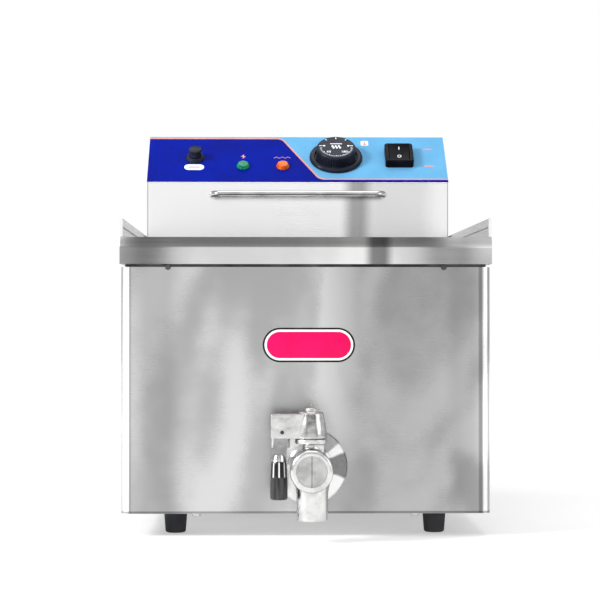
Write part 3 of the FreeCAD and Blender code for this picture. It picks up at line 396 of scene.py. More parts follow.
# %% Metal finishes
flange_low, flange_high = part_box("tap_flange")
flange_centre = (flange_low + flange_high) / 2.0
finishes = {
    "flange": spun("flange_spun", flange_centre, [(1, 20, 0.74), (50, 13, 0.55)], 0.2),
    "cabinet": steel("cabinet_satin", (0.38, 0.38, 0.38), (0.60, 0.60, 0.60), 0.27, 0.010,
                     cloud_scale=7.0, swirl=2.4,
                     # Painted reflections of the room: darker upright bands across the front.
                     bands=[(-121, 14, 8, 0.24), (78, 50, 20, 0.30), (132, 12, 7, 0.22)],
                     # Painted highlights along the bent side edges, each beside a thin dark line.
                     lines=[(-146.1, 2.7, 0.6, -1.15), (-142.6, 0.9, 0.4, 0.25),
                            (145.5, 2.0, 0.7, -1.15), (142.2, 1.8, 0.9, 0.45)],
                     # Painted shade: a dark line along the bottom edge of the front.
                     painted_dark_edge=(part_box("front_panel")[0].z, 0.9, 0.3, 0.5)),
    "side": steel("side_satin", (0.40, 0.40, 0.40), (0.56, 0.56, 0.56), 0.27, 0.008, "z",
                  # Painted highlight: a bright strip along the front fold.
                  painted_front_highlight=(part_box("side_panel_left")[0].y, 7, 0.93)),
    "tray": steel("tray_satin", (0.50, 0.50, 0.50), (0.62, 0.62, 0.615), 0.24, 0.004),
    "guard": steel("guard_satin", (0.56, 0.56, 0.56), (0.68, 0.68, 0.675), 0.22, 0.004, "y",
                   # Painted highlight: a bright strip along the front fold.
                   painted_front_highlight=(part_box("side_guard_left")[0].y, 9, 0.9)),
    "apron": steel("apron_satin", (0.64, 0.64, 0.64), (0.82, 0.82, 0.815), 0.20, 0.003,
                   # Painted reflections of the room: darker upright bands, darkest near both ends.
                   bands=[(-142, 20, 14, 0.48), (62, 9, 5, 0.72), (143, 20, 10, 0.50)],
                   # Painted shade: a dark band along the top edge.
                   painted_dark_edge=(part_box("front_apron")[1].z, 6.5, 2.5, 0.32)),
    "box": steel("box_satin", (0.46, 0.46, 0.46), (0.60, 0.60, 0.60), 0.27, 0.006, "y"),
    "head": steel("head_satin", (0.46, 0.46, 0.46), (0.62, 0.62, 0.62), 0.24, 0.007,
                  # Painted highlight: a bright strip along the front fold.
                  painted_front_highlight=(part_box("head_cover")[0].y, 5, 0.91),
                  # Painted reflections of the room: darker upright bands on the face.
                  bands=[(61, 11, 8, 0.56), (100, 30, 12, 0.18)]),
    "tank": steel("tank_satin", (0.60, 0.60, 0.60), (0.76, 0.76, 0.755), 0.24, 0.003, "z"),
    "polished": steel("polished_steel", (0.46, 0.46, 0.46), (0.58, 0.58, 0.58), 0.14, 0.0004,
                      "x", 0.02, 40.0),
    "cast": casting("cast_polished", (0.52, 0.52, 0.515), (0.68, 0.68, 0.675), 0.20, 0.10),
    "matte_cast": casting("cast_matte", (0.50, 0.50, 0.495), (0.64, 0.64, 0.635), 0.24, 0.25),
    "shank": casting("shank_matte", (0.26, 0.26, 0.26), (0.38, 0.38, 0.38), 0.34, 0.3),
    "pin": casting("pin_dark", (0.05, 0.05, 0.05), (0.10, 0.10, 0.10), 0.35, 0.2),
    "sanded": casting("cast_sanded", (0.37, 0.37, 0.365), (0.55, 0.55, 0.545), 0.42, 0.7),
    "zinc": casting("zinc_plate", (0.48, 0.48, 0.47), (0.66, 0.66, 0.64), 0.30, 0.15),
}
print("metal finishes", sorted(finishes))

# %% [markdown]
# ## Plastics and rubber
# The black parts are not one black. The rubber feet are dull and slightly dusty, the knob and
# gland have a fine moulded grain, and the switch is smoother and catches the lamps. Each is a
# plain shader with a noise in its colour and a small grain in its bump.

# %% Moulded materials
def moulded(name, dark, light, roughness, grain_scale, grain, specular=0.06):
    material, tree, shader, where = new_finish(name, 0.0, roughness)
    shader.inputs["Specular IOR Level"].default_value = specular
    patches = noise(tree, where, 45.0, 4.0)
    pores = noise(tree, where, grain_scale, 2.0)
    tree.links.new(tint(tree, from_noise(tree, patches), dark, light), shader.inputs["Base Color"])
    dullness = from_noise(tree, patches, roughness - 0.05, roughness + 0.06)
    tree.links.new(dullness, shader.inputs["Roughness"])
    raise_bumps(tree, shader, [(pores, grain, 0.0002)])
    return material


def lens_plastic(name, dark, light):
    material, tree, shader, where = new_finish(name, 0.0, 0.16)
    swirl = noise(tree, where, 180.0, 2.0)
    tree.links.new(tint(tree, ramp(tree, swirl, 0.35, 0.65), dark, light), shader.inputs["Base Color"])
    shader.inputs["Subsurface Weight"].default_value = 0.25
    shader.inputs["Subsurface Radius"].default_value = (0.002, 0.002, 0.002)
    shader.inputs["Specular IOR Level"].default_value = 0.08
    shader.inputs["Coat Weight"].default_value = 0.3
    shader.inputs["Coat Roughness"].default_value = 0.08
    ribs = wire(tree, "ShaderNodeTexVoronoi", {"Vector": where, "Scale": 420.0}).outputs["Distance"]
    raise_bumps(tree, shader, [(ribs, 0.18, 0.0004)])
    return material


finishes.update({
    "rubber": moulded("foot_rubber", (0.030, 0.031, 0.034), (0.060, 0.060, 0.064), 0.62, 900.0, 0.35),
    "seal": moulded("seal_rubber", (0.05, 0.05, 0.05), (0.16, 0.16, 0.16), 0.70, 700.0, 0.3),
    "black": moulded("moulded_black", (0.010, 0.011, 0.013), (0.022, 0.024, 0.028), 0.36, 1500.0, 0.25),
    "knob": moulded("knob_black", (0.010, 0.012, 0.020), (0.022, 0.026, 0.040), 0.26,
                     1400.0, 0.2, specular=0.08),
    "switch": moulded("switch_black", (0.004, 0.004, 0.006), (0.010, 0.010, 0.013), 0.24,
                       1200.0, 0.12, specular=0.035),
    "grip": moulded("grip_black", (0.012, 0.012, 0.013), (0.034, 0.034, 0.035), 0.45, 1100.0, 0.4),
    "seat": moulded("seat_white", (0.78, 0.78, 0.76), (0.86, 0.86, 0.84), 0.4, 900.0, 0.1),
    "thermoset": moulded("thermoset_pale", (0.58, 0.56, 0.50), (0.74, 0.72, 0.66), 0.5, 600.0, 0.3),
    "print": moulded("print_white", (0.80, 0.80, 0.80), (0.90, 0.90, 0.90), 0.45, 2000.0, 0.05),
    "green": lens_plastic("lens_green", (0.0, 0.13, 0.06), (0.002, 0.24, 0.11)),
    "orange": lens_plastic("lens_orange", (0.55, 0.07, 0.001), (0.72, 0.13, 0.004)),
})
print("moulded finishes", len(finishes))

# %% [markdown]
# ## Finishes for the pieces that keep their own shape
# Sheets, screws, tubes and hidden parts already have the right form, so they only swap the
# plain colour they came with. The table is read one row per finish.

# %% Dress the design pieces
kept = {
    "cabinet": ["front_panel", "rear_panel", "base_plate"],
    "side": ["side_panel_left", "side_panel_right"],
    "tray": ["tray_deck", "rear_guard", "head_guides"],
    "guard": ["side_guard_left", "side_guard_right"],
    "tank": ["tank"],
    "head": ["head_cover"],
    "box": ["head_side_left", "head_side_right", "head_base", "head_hooks"],
    "polished": ["hanger_bar", "drain_nipple", "nipple_nut", "heating_element", "element_bracket",
                 "thermostat_bulb", "thermostat_shaft"],
    "flange": ["tap_flange"],
    "shank": ["handle_shank"],
    "pin": ["lever_pin", "panel_screws"],
    "cast": ["tap_body", "tap_bonnet", "lever_hub", "handle_ferrule", "tap_ball", "tap_stem"],
    "sanded": ["tap_plug"],
    "zinc": ["foot_screws", "foot_nuts", "base_screws", "head_screws", "hub_screw"],
    "rubber": ["feet"],
    "seal": ["tray_seal", "tap_gasket"],
    "seat": ["tap_seats"],
    "grip": ["handle_grip"],
    "black": ["dial_bezel", "reset_bush", "reset_cap", "terminal_block", "cable_gland"],
    "knob": ["dial_knob"],
    "switch": ["switch_frame", "rocker"],
    "thermoset": ["lamp_bodies", "thermostat_body", "limit_cutout"],
}
for finish, members in kept.items():
    for name in members:
        mesh = nodes[name].data
        mesh.materials.clear()
        mesh.materials.append(finishes[finish])
print("dressed", sum(len(members) for members in kept.values()), "design pieces")
# %% [markdown]
# ## The printed film on the slope
# The control film is one thin closed sheet. Its colours meet at exact lines, so the top face
# is split along those lines and each region gets its own ink: dark blue, a thin orange line,
# light blue. The line's path is a few straight runs with rounded bends, written in
# millimetres across the slope and up it, starting from where the dial sits. Building the
# regions as real faces keeps every edge crisp from any distance.

# %% Directions on the slope
joints = {joint["name"]: joint for joint in frame["joints"]}
dial_pivot = Vector(joints["dial_turn"]["pos_m"])
lift_dir = -Vector(joints["dial_turn"]["axis"]).normalized()
up_dir = lift_dir.cross(Vector((1.0, 0.0, 0.0)))
film_low, film_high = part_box("control_label")
film_t = 0.5
slope_length = (film_high.z - film_low.z) / up_dir.z / MM
dial_up = 40.9


def on_slope(x, up, lift=0.0):
    """A point on the slope: x from the middle, up from its lower fold, lift off the sheet; mm."""
    level = dial_pivot + up_dir * ((up - dial_up) * MM) + lift_dir * (lift * MM)
    return Vector((x * MM, level.y, level.z))


def slope_frame(x, up):
    """Local axes of a control: x across, y up the slope, z off it."""
    right = Vector((1.0, 0.0, 0.0))
    turn = Matrix((right, up_dir, lift_dir)).transposed().to_4x4()
    return Matrix.Translation(on_slope(x, up)) @ turn


print("slope length", round(slope_length, 2), "mm, lift", tuple(round(v, 3) for v in lift_dir))


# %% Rounded path of the orange line
def rounded_path(points, radius, steps=8):
    """Straight runs joined by arcs; radius is the bend radius in the same units."""
    made = [Vector(points[0])]
    for before, corner, after in zip(points, points[1:], points[2:]):
        corner = Vector(corner)
        back = (Vector(before) - corner).normalized()
        ahead = (Vector(after) - corner).normalized()
        half = back.angle(ahead) / 2.0
        reach = radius / math.tan(half)
        centre = corner + (back + ahead).normalized() * (radius / math.sin(half))
        start, end = corner + back * reach - centre, corner + ahead * reach - centre
        for k in range(steps + 1):
            part = start.lerp(end, k / steps)
            made.append(centre + part.normalized() * radius)
    made.append(Vector(points[-1]))
    return made


def offset_path(points, shift):
    """The same path moved sideways by shift."""
    moved = []
    for k, point in enumerate(points):
        ahead = (points[min(k + 1, len(points) - 1)] - points[max(k - 1, 0)]).normalized()
        moved.append(point + Vector((-ahead.y, ahead.x)) * shift)
    return moved


film_half = film_high.x / MM
film_bottom, film_top = 0.7, 78.2
line_path = rounded_path([(-film_half, 75.4), (-15.0, 75.4), (21.5, 4.9), (film_half, 4.9)], 9.0)
line_half = 0.85
line_upper = offset_path(line_path, line_half)
line_lower = offset_path(line_path, -line_half)
print("line has", len(line_path), "points")


# %% Inks
def ink(name, dark, light, roughness=0.42, specular=0.02):
    material, tree, shader, where = new_finish(name, 0.0, roughness)
    blots = noise(tree, where, 30.0, 3.0)
    screen = noise(tree, where, 2200.0, 1.0)
    tree.links.new(tint(tree, from_noise(tree, blots), dark, light), shader.inputs["Base Color"])
    dullness = from_noise(tree, blots, roughness - 0.03, roughness + 0.05)
    tree.links.new(dullness, shader.inputs["Roughness"])
    shader.inputs["Specular IOR Level"].default_value = specular
    raise_bumps(tree, shader, [(screen, 0.06, 0.0001)])
    return material


inks = {
    "dark": ink("ink_dark_blue", (0.0, 0.005, 0.185), (0.0, 0.008, 0.245)),
    "light": ink("ink_light_blue", (0.105, 0.315, 0.53), (0.12, 0.35, 0.585)),
    "line": ink("ink_orange", (0.60, 0.24, 0.14), (0.66, 0.28, 0.17)),
    "pale": ink("ink_white", (0.66, 0.70, 0.80), (0.76, 0.80, 0.88)),
    "soft": ink("ink_pale_orange", (0.56, 0.25, 0.21), (0.62, 0.30, 0.26)),
}
print("inks", sorted(inks))

# %% Film mesh
def build_film():
    """Top face in three strips between four polylines, then thickened downwards."""
    count = len(line_path)
    tops = [Vector((p.x, film_top)) for p in line_path]
    bottoms = [Vector((p.x, film_bottom)) for p in line_path]
    rows = [bottoms, line_lower, line_upper, tops]
    for row in rows:
        row[0].x, row[-1].x = -film_half, film_half
    mesh_points, faces, tags = [], [], []
    for lift in (film_t, 0.02):
        for row in rows:
            mesh_points += [on_slope(p.x, p.y, lift) for p in row]
    layer = 4 * count
    for strip in range(3):
        for k in range(count - 1):
            a = strip * count + k
            quad = (a, a + 1, a + count + 1, a + count)
            faces.append(quad)
            tags.append(strip)
            faces.append(tuple(i + layer for i in reversed(quad)))
            tags.append(0)
    rim = list(range(count)) + [count * r + count - 1 for r in (1, 2, 3)]
    rim += [3 * count + k for k in range(count - 2, -1, -1)] + [count * r for r in (2, 1)]
    for a, b in zip(rim, rim[1:] + rim[:1]):
        faces.append((a, a + layer, b + layer, b))
        tags.append(0)
    mesh = bpy.data.meshes.new("printed_film")
    mesh.from_pydata(mesh_points, [], faces)
    for key in ("dark", "line", "light"):
        mesh.materials.append(inks[key])
    mesh.polygons.foreach_set("material_index", tags)
    mesh.validate()
    return place("printed_film", mesh)


film = build_film()
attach(film, "control_head")
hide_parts("control_label")
print("film faces", len(film.data.polygons))
# %% [markdown]
# ## Outlines, stacks and turned shapes
# Print marks, the badge and the controls all come from three simple builders: a flat outline
# pushed up into a thin solid, a stack of outlines joined ring by ring, and a profile spun
# around an axis. Each builder returns closed solids.

# %% Flat outlines
def circle(radius, steps=48):
    turns = [math.tau * k / steps for k in range(steps)]
    return [(radius * math.cos(turn), radius * math.sin(turn)) for turn in turns]


def round_rect(width, length, radius, steps=8):
    """Counter-clockwise outline centred on the origin."""
    made = []
    for quarter, (sx, sy) in enumerate(((1, 1), (-1, 1), (-1, -1), (1, -1))):
        for k in range(steps + 1):
            angle = math.pi / 2.0 * (quarter + k / steps)
            made.append((sx * (width / 2.0 - radius) + radius * math.cos(angle),
                         sy * (length / 2.0 - radius) + radius * math.sin(angle)))
    return made


def stroke(points, half):
    """The outline of a thick line through the points."""
    path = [Vector(p) for p in points]
    near, far = offset_path(path, -half), reversed(offset_path(path, half))
    return [tuple(p) for p in near] + [tuple(p) for p in far]


def shifted(outline, dx, dy):
    return [(x + dx, y + dy) for x, y in outline]


print("corners of a circle and a rounded box:", len(circle(1.0)), len(round_rect(4.0, 2.0, 0.5)))

# %% Stacks and turned shapes
def add_stack(form, matrix, rings, tags=None, ring_solid=False):
    """Joins outlines with equal point counts, each (outline, height), into one closed solid.

    A ring solid has no caps: its last outline joins back to its first."""
    loops = [[form.verts.new(matrix @ Vector((x * MM, y * MM, height * MM))) for x, y in outline]
             for outline, height in rings]
    tags = tags or [0] * (len(rings) + 1)
    if ring_solid:
        loops.append(loops[0])
        tags.append(0)
    else:
        form.faces.new(list(reversed(loops[0]))).material_index = tags[0]
        form.faces.new(loops[-1]).material_index = tags[-1]
    for k, (low, high) in enumerate(zip(loops, loops[1:])):
        for a in range(len(low)):
            b = (a + 1) % len(low)
            form.faces.new((low[a], low[b], high[b], high[a])).material_index = tags[k + 1]


def finish_form(name, form, materials, smooth_degrees=None):
    """Turns a bmesh into a placed object, smooth below the given angle."""
    mesh = bpy.data.meshes.new(name)
    form.to_mesh(mesh)
    form.free()
    for material in materials:
        mesh.materials.append(material)
    if smooth_degrees is not None:
        mesh.shade_smooth()
        mesh.set_sharp_from_angle(angle=math.radians(smooth_degrees))
    return place(name, mesh)


def lathe(name, matrix, profile, material, segments=96, ripple=None, ring_solid=False, smooth_degrees=35):
    """Spins (radius, height) pairs, listed from the bottom outwards and up to the top."""
    form = bmesh.new()
    rings = []
    for radius, height in profile:
        outline = []
        for k in range(segments):
            angle = math.tau * k / segments
            r = radius if ripple is None else ripple(angle, radius, height)
            outline.append((r * math.cos(angle), r * math.sin(angle)))
        rings.append((outline, height))
    add_stack(form, matrix, rings, None, ring_solid)
    return finish_form(name, form, [material], smooth_degrees)


print("builders: add_stack, finish_form, lathe")

# %% [markdown]
# ## Openings and print on the film
# The switch hole and the shaft holes are cut out of the film, so nothing passes through it. A
# boolean cut suits openings that go straight through a thin sheet. The print on top is a layer
# of ink with a small thickness; plain bars and signs stand where a maker would put words.

# %% Cutting
def bake(thing):
    """Applies every modifier at once and returns the new mesh."""
    baked = bpy.data.meshes.new_from_object(thing.evaluated_get(bpy.context.evaluated_depsgraph_get()))
    thing.modifiers.clear()
    thing.data = baked
    return baked


def cut_away(thing, cutters):
    """Boolean difference, applied at once; the cutters are removed."""
    for cutter in cutters:
        step = thing.modifiers.new("cut", "BOOLEAN")
        step.operation, step.solver, step.object = "DIFFERENCE", "EXACT", cutter
    bake(thing)
    for cutter in cutters:
        bpy.data.objects.remove(cutter)


def block_on(matrix, outline, low, high):
    form = bmesh.new()
    add_stack(form, matrix, [(outline, low), (outline, high)])
    return finish_form("cutter", form, [])


# Two ways to turn an outline: a stack of it grows along x, or towards the front.
sideways = Matrix(((0, 1, 0), (0, 0, 1), (1, 0, 0))).transposed().to_4x4()
frontward = Matrix(((1, 0, 0), (0, 0, 1), (0, -1, 0))).transposed().to_4x4()
print("cutting helpers: bake, cut_away, block_on")

# %% Holes in the film, each control placed across and up the slope in mm
controls = {"dial": (38.5, dial_up), "switch": (101.1, dial_up), "reset": (-101.2, dial_up),
            "green": (-53.6, 26.6), "orange": (-14.5, 26.6)}
holes = {"dial": circle(3.8), "reset": circle(2.0), "green": circle(5.4), "orange": circle(5.4),
         "switch": round_rect(22.8, 28.8, 1.0)}
cut_away(film, [block_on(slope_frame(*controls[name]), outline, -3.0, 3.0)
                for name, outline in holes.items()])
print("film with holes:", len(film.data.polygons), "faces")


# %% Print on the film
def build_print():
    form = bmesh.new()
    ink_top, second_ink = film_t + 0.06, film_t + 0.10
    marks = [
        (shifted(round_rect(19.5, 9.6, 4.7), -102.0, 25.1), film_t, ink_top, 0),
        (shifted(round_rect(11.5, 2.2, 1.0), -102.0, 25.1), ink_top, second_ink, 1),
        ([(-52.8, 47.6), (-56.0, 43.2), (-53.9, 43.2), (-54.4, 39.6), (-51.2, 44.2), (-53.3, 44.2)],
         film_t, ink_top, 1),
        (shifted(stroke([(-8, -1), (-5.5, 1.2), (-3, -1.2), (0, 1.4), (3, -1.2), (5.5, 1.2), (8, -0.6)],
                        0.32), -15.0, 41.8), film_t, ink_top, 1),
        (shifted(round_rect(7.6, 8.2, 1.6), 68.0, 67.4), film_t, ink_top, 0),
        (shifted(round_rect(1.3, 5.0, 0.6), 68.0, 68.0), ink_top, second_ink, 1),
        (shifted(circle(1.6, 24), 68.0, 65.4), ink_top, second_ink + 0.01, 1),
        (shifted(round_rect(9.5, 1.9, 0.8), 130.5, 56.7), film_t, ink_top, 1),
        (shifted(round_rect(9.5, 1.9, 0.8), 130.5, 27.4), film_t, ink_top, 1),
    ]
    for outline, low, high, tag in marks:
        add_stack(form, slope_frame(0.0, 0.0), [(outline, low), (outline, high)], [tag] * 3)
    return finish_form("label_print", form, [inks["pale"], inks["soft"]])


label_print = build_print()
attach(label_print, "control_head")
print("print marks", len(label_print.data.polygons), "faces")

# %% [markdown]
# ## The badge
# The badge is a pill of hard enamel: a black rim, a white keyline and a magenta field that
# swells gently towards the middle. It is one stack of pill outlines, each a little smaller
# and a little higher, with the colour changing from ring to ring. It carries no wording.

# %% Badge
def build_badge():
    low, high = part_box("badge_plate")
    width, length = (high.x - low.x) / MM, (high.z - low.z) / MM
    at = Vector(((low.x + high.x) / 2.0, high.y, (low.z + high.z) / 2.0))
    full = (high.y - low.y) / MM
    rings, radius = [], min(width, length) / 2.0
    for inset, height in ((0, 0), (0, full - 0.25), (0.25, full), (1.5, full), (3.3, full),
                          (3.6, full + 0.04), (6.0, full + 0.18), (9.0, full + 0.28),
                          (12.0, full + 0.33)):
        rings.append((round_rect(width - 2 * inset, length - 2 * inset, radius - inset - 0.01, 12), height))
    form = bmesh.new()
    add_stack(form, Matrix.Translation(at) @ frontward, rings, [0, 0, 0, 0, 1, 2, 2, 2, 2, 2])
    enamel = ink("enamel_magenta", (0.66, 0.0, 0.085), (0.76, 0.002, 0.12), 0.22, 0.15)
    rim = ink("enamel_black", (0.008, 0.008, 0.010), (0.02, 0.02, 0.024), 0.25, 0.15)
    keyline = ink("enamel_white", (0.80, 0.80, 0.80), (0.90, 0.90, 0.90), 0.25, 0.2)
    return finish_form("badge", form, [rim, keyline, enamel], 30)


badge = build_badge()
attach(badge, "root")
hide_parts("badge_plate")
print("badge", tuple(round(v, 4) for v in badge.dimensions))
# %% [markdown]
# ## The dial
# The knob is turned from a profile, and its side wall is rippled by a fine cosine so the
# fingers have something to hold. The scale on its face is real geometry: small raised ticks,
# two end dots, two temperatures and a plain heat sign. The marks and the knob are one
# object, because they turn together.

# %% Marks for a face
def sit(matrix, x, y, height, turn=0.0):
    """A frame at (x, y) on a face, turned about the face's own axis; mm and degrees."""
    spot = Matrix.Translation((x * MM, y * MM, height * MM))
    return matrix @ spot @ Matrix.Rotation(math.radians(turn), 4, "Z")


def add_number(form, matrix, text, size, thick, tag):
    """Raised digits as a closed solid."""
    curve = bpy.data.curves.new("digits", "FONT")
    curve.body, curve.size, curve.extrude = text, size * MM, thick * MM
    curve.align_x, curve.align_y = "CENTER", "CENTER"
    curve.resolution_u = 3
    thing = place("digits", curve)
    bpy.context.view_layer.update()
    mesh = bpy.data.meshes.new_from_object(thing)
    before = set(form.faces)
    mesh.transform(matrix)
    form.from_mesh(mesh)
    for face in form.faces:
        if face not in before:
            face.material_index = tag
    bpy.data.objects.remove(thing)


print("face helpers: sit, add_number")

# %% The dial's scale
tick_count, tick_step, raised = 25, 7.0, 0.12


def scale_marks(form, matrix, top):
    """Ticks round the lower half, end dots and bars, a heat sign and two temperatures."""
    def mark(outline, x, y, turn=0.0):
        add_stack(form, sit(matrix, x, y, top, turn), [(outline, -0.3), (outline, raised)], [1] * 3)

    for k in range(tick_count):
        angle = 186.0 + tick_step * k
        reach = 15.6 if k % 4 else 15.2
        long = 1.3 if k % 4 else 2.1
        mark(round_rect(long, 0.55, 0.2), reach * math.cos(math.radians(angle)),
             reach * math.sin(math.radians(angle)), angle)
    for side in (-1, 1):
        mark(circle(1.1, 24), side * 12.0, 2.2)
        mark(round_rect(3.2, 0.8, 0.3), side * 15.2, 2.2)
        mark(round_rect(2.6, 0.7, 0.3), side * 9.8, 12.8, side * 52.0)
    mark(round_rect(0.8, 2.8, 0.3), 0.0, 15.2)
    mark(round_rect(12.0, 1.0, 0.4), 0.0, 5.6)
    for x in (-3.2, 0.0, 3.2):
        wave = [(0.9 * math.sin(k * math.pi / 4.0), 0.62 * k - 2.5) for k in range(9)]
        mark(stroke(wave, 0.75), x, 0.2)
    add_number(form, sit(matrix, -7.6, -8.2, top), "60", 4.4, raised, 1)
    add_number(form, sit(matrix, 7.8, -8.2, top), "180", 4.4, raised, 1)


print("ticks cover", (tick_count - 1) * tick_step, "degrees")

# %% Knob and bezel
def fluted(angle, radius, height):
    """Narrow grooves along the side wall only."""
    if 3.2 < height < 12.0 and radius > 19.0:
        return radius - 0.75 * (0.5 + 0.5 * math.cos(angle * 48)) ** 2
    return radius


def build_knob(matrix):
    top = 14.0
    profile = [(3.1, 2.4), (19.4, 2.4), (19.65, 2.7), (19.65, 3.1), (19.6, 3.5), (19.55, 11.6), (19.5, 12.2),
               (19.2, 12.9), (18.6, 13.6), (17.9, 13.95), (17.2, top), (16.9, top)]
    knob = lathe("knob_shape", matrix, profile, finishes["knob"], 384, fluted)
    form = bmesh.new()
    form.from_mesh(knob.data)
    bpy.data.objects.remove(knob)
    scale_marks(form, matrix, top)
    return finish_form("dial_face", form, [finishes["knob"], finishes["mark"]], 30)


finishes["mark"] = ink("mark_white", (0.78, 0.80, 0.84), (0.90, 0.92, 0.95), 0.4, 0.1)
dial_frame = slope_frame(*controls["dial"])
dial_face = build_knob(dial_frame)
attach(dial_face, "dial")
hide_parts("dial_knob")
bezel_profile = [(3.7, 0.5), (25.9, 0.5), (26.35, 0.9), (26.35, 2.0), (25.9, 3.2), (24.9, 4.0), (23.8, 4.25),
                 (22.0, 4.2), (21.3, 3.9), (20.6, 2.0), (3.7, 2.0)]
bezel = lathe("dial_ring", dial_frame, bezel_profile, finishes["knob"], 128, ring_solid=True)
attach(bezel, "control_head")
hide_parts("dial_bezel")
print("dial face", len(dial_face.data.polygons), "faces")

# %% [markdown]
# ## The switch and the reset button
# The rocker's top is one shallow hollow, so a finger finds either end. The on and off marks
# lie on that hollow, each tilted to follow it. Off is a light disc with a smaller dark disc
# on top, which reads as a ring. The reset button is a small stool: a flat cap on a narrow
# waist that runs down through a flared bush.

# %% The rocker's hollow and its soft edges
rocker_reach, rocker_sag = 12.6, 1.4


def hollow(y):
    """Height of the rocker's top above its pivot, mm."""
    return 4.5 + rocker_sag * (y / rocker_reach) ** 2


def soften(thing, width):
    """Rounds the sharp edges and applies the result."""
    step = thing.modifiers.new("soft", "BEVEL")
    step.width, step.segments, step.angle_limit = width * MM, 3, math.radians(30)
    ready = bake(thing)
    ready.shade_smooth()
    ready.set_sharp_from_angle(angle=math.radians(40))


print("rocker top is", hollow(0.0), "mm up in the middle,", round(hollow(rocker_reach), 2), "at its ends")

# %% Rocker
def build_rocker():
    tipped = Matrix.Rotation(math.radians(10.0), 4, "X")
    at = slope_frame(*controls["switch"]) @ Matrix.Translation((0, 0, 3.5 * MM)) @ tipped
    half, end = 10.15, 12.3
    floor_line = [(-end, -1.0), (-8.0, -5.0), (8.0, -5.0), (end, -1.0)]
    top_line = [(end - 2.05 * k, hollow(end - 2.05 * k)) for k in range(13)]
    form = bmesh.new()
    outline = floor_line + top_line
    add_stack(form, at @ sideways, [(outline, -half), (outline, half)])
    body = finish_form("rocker_body", form, [finishes["switch"]])
    soften(body, 0.55)
    form = bmesh.new()
    form.from_mesh(body.data)
    bpy.data.objects.remove(body)
    axle = circle(1.45, 24)
    add_stack(form, at @ sideways, [(axle, -10.75), (axle, 10.75)])

    def mark(outline, y, low, high, tag):
        tilt = math.atan(2.0 * rocker_sag * y / rocker_reach ** 2)
        spot = at @ Matrix.Translation((0, y * MM, hollow(y) * MM)) @ Matrix.Rotation(tilt, 4, "X")
        add_stack(form, spot, [(outline, low), (outline, high)], [tag] * 3)

    mark(round_rect(0.75, 3.8, 0.35), 6.0, -0.2, 0.10, 1)
    mark(round_rect(3.9, 4.2, 1.9), -5.2, -0.2, 0.10, 1)
    mark(round_rect(2.6, 2.9, 1.25), -5.2, 0.0, 0.16, 0)
    return finish_form("rocker_key", form, [finishes["switch"], finishes["mark"]], 40)


rocker_key = build_rocker()
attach(rocker_key, "power_rocker")
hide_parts("rocker")
print("rocker", len(rocker_key.data.polygons), "faces")

# %% Reset button
reset_frame = slope_frame(*controls["reset"])
cap_profile = [(1.45, -9.0), (1.45, 3.8), (5.7, 3.8), (5.9, 4.2), (5.5, 6.6), (5.35, 8.2), (5.6, 8.9),
               (6.15, 9.3), (6.35, 9.7), (6.35, 10.8), (6.1, 11.3), (5.6, 11.6)]
reset_key = lathe("reset_key", reset_frame, cap_profile, finishes["knob"], 64)
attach(reset_key, "reset_button")
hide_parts("reset_cap")
flare_profile = [(6.5, 0.5), (9.2, 0.5), (9.4, 0.8), (9.2, 1.5), (8.4, 2.4), (7.7, 3.3), (7.3, 4.0),
                 (6.5, 4.0)]
reset_flare = lathe("reset_flare", reset_frame, flare_profile, finishes["knob"], 64, ring_solid=True)
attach(reset_flare, "control_head")
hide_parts("reset_bush")
print("switch and reset in place")

# %% [markdown]
# ## The two lamp lenses
# Each lens is a low ten-sided prism with a slanted wall. Flat facets, unlike a smooth dome,
# each catch a different part of the room, which is what makes a small lens sparkle.

# %% Lenses
for side in ("green", "orange"):
    facets = [(4.9, -1.5), (4.9, 0.5), (6.6, 0.5), (6.6, 1.5), (5.3, 3.9), (4.6, 4.2)]
    lens = lathe(side + "_facets", slope_frame(*controls[side]), facets, finishes[side], 10,
                 smooth_degrees=5)
    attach(lens, "control_head")
    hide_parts(side + "_lens")
print("lenses faceted")
# %% [markdown]
# ## The cast tap body
# A sand casting has no sharp inside corners: wherever two bulks meet, the metal flows. The
# outer bulks are turned separately, then a fine voxel remesh fuses them into one skin and a
# few rounds of smoothing melt the joins. The real bores are drilled afterwards, so the ball,
# the seats and the stem still sit in open chambers.

# %% Tap directions and the casting recipe
stem = Vector(joints["tap_turn"]["pos_m"])
upright = Matrix.Translation(stem)
forward = Matrix.Translation(stem) @ frontward


def bulk(matrix, profile):
    """One turned solid as part of a casting."""
    return lathe("bulk", matrix, profile, finishes["cast"], 72)


def slab(matrix, low, high, radius=1.5):
    """A box between two corners in mm, rounded in plan."""
    width, length = high[0] - low[0], high[1] - low[1]
    middle = ((low[0] + high[0]) / 2.0, (low[1] + high[1]) / 2.0)
    outline = shifted(round_rect(width, length, radius, 4), *middle)
    return block_on(matrix, outline, low[2], high[2])


def fuse(name, bulks, voxel, rounds, keep, material):
    """Joins bulks under one smooth skin, then thins the mesh."""
    form = bmesh.new()
    for part in bulks:
        form.from_mesh(part.data)
        bpy.data.objects.remove(part)
    thing = finish_form(name, form, [material])
    step = thing.modifiers.new("skin", "REMESH")
    step.mode, step.voxel_size = "VOXEL", voxel * MM
    step = thing.modifiers.new("melt", "SMOOTH")
    step.factor, step.iterations = 0.5, rounds
    step = thing.modifiers.new("thin", "DECIMATE")
    step.ratio = keep
    ready = bake(thing)
    ready.materials.clear()
    ready.materials.append(material)
    return thing


def dress(thing, body, slot, *nodes):
    """Smooth shading, then the body it rides on and the pieces it stands in for; slot is not used."""
    thing.data.shade_smooth()
    thing.data.set_sharp_from_angle(angle=math.radians(42))
    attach(thing, body)
    if nodes:
        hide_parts(*nodes)
    print(thing.name, len(thing.data.polygons), "faces")


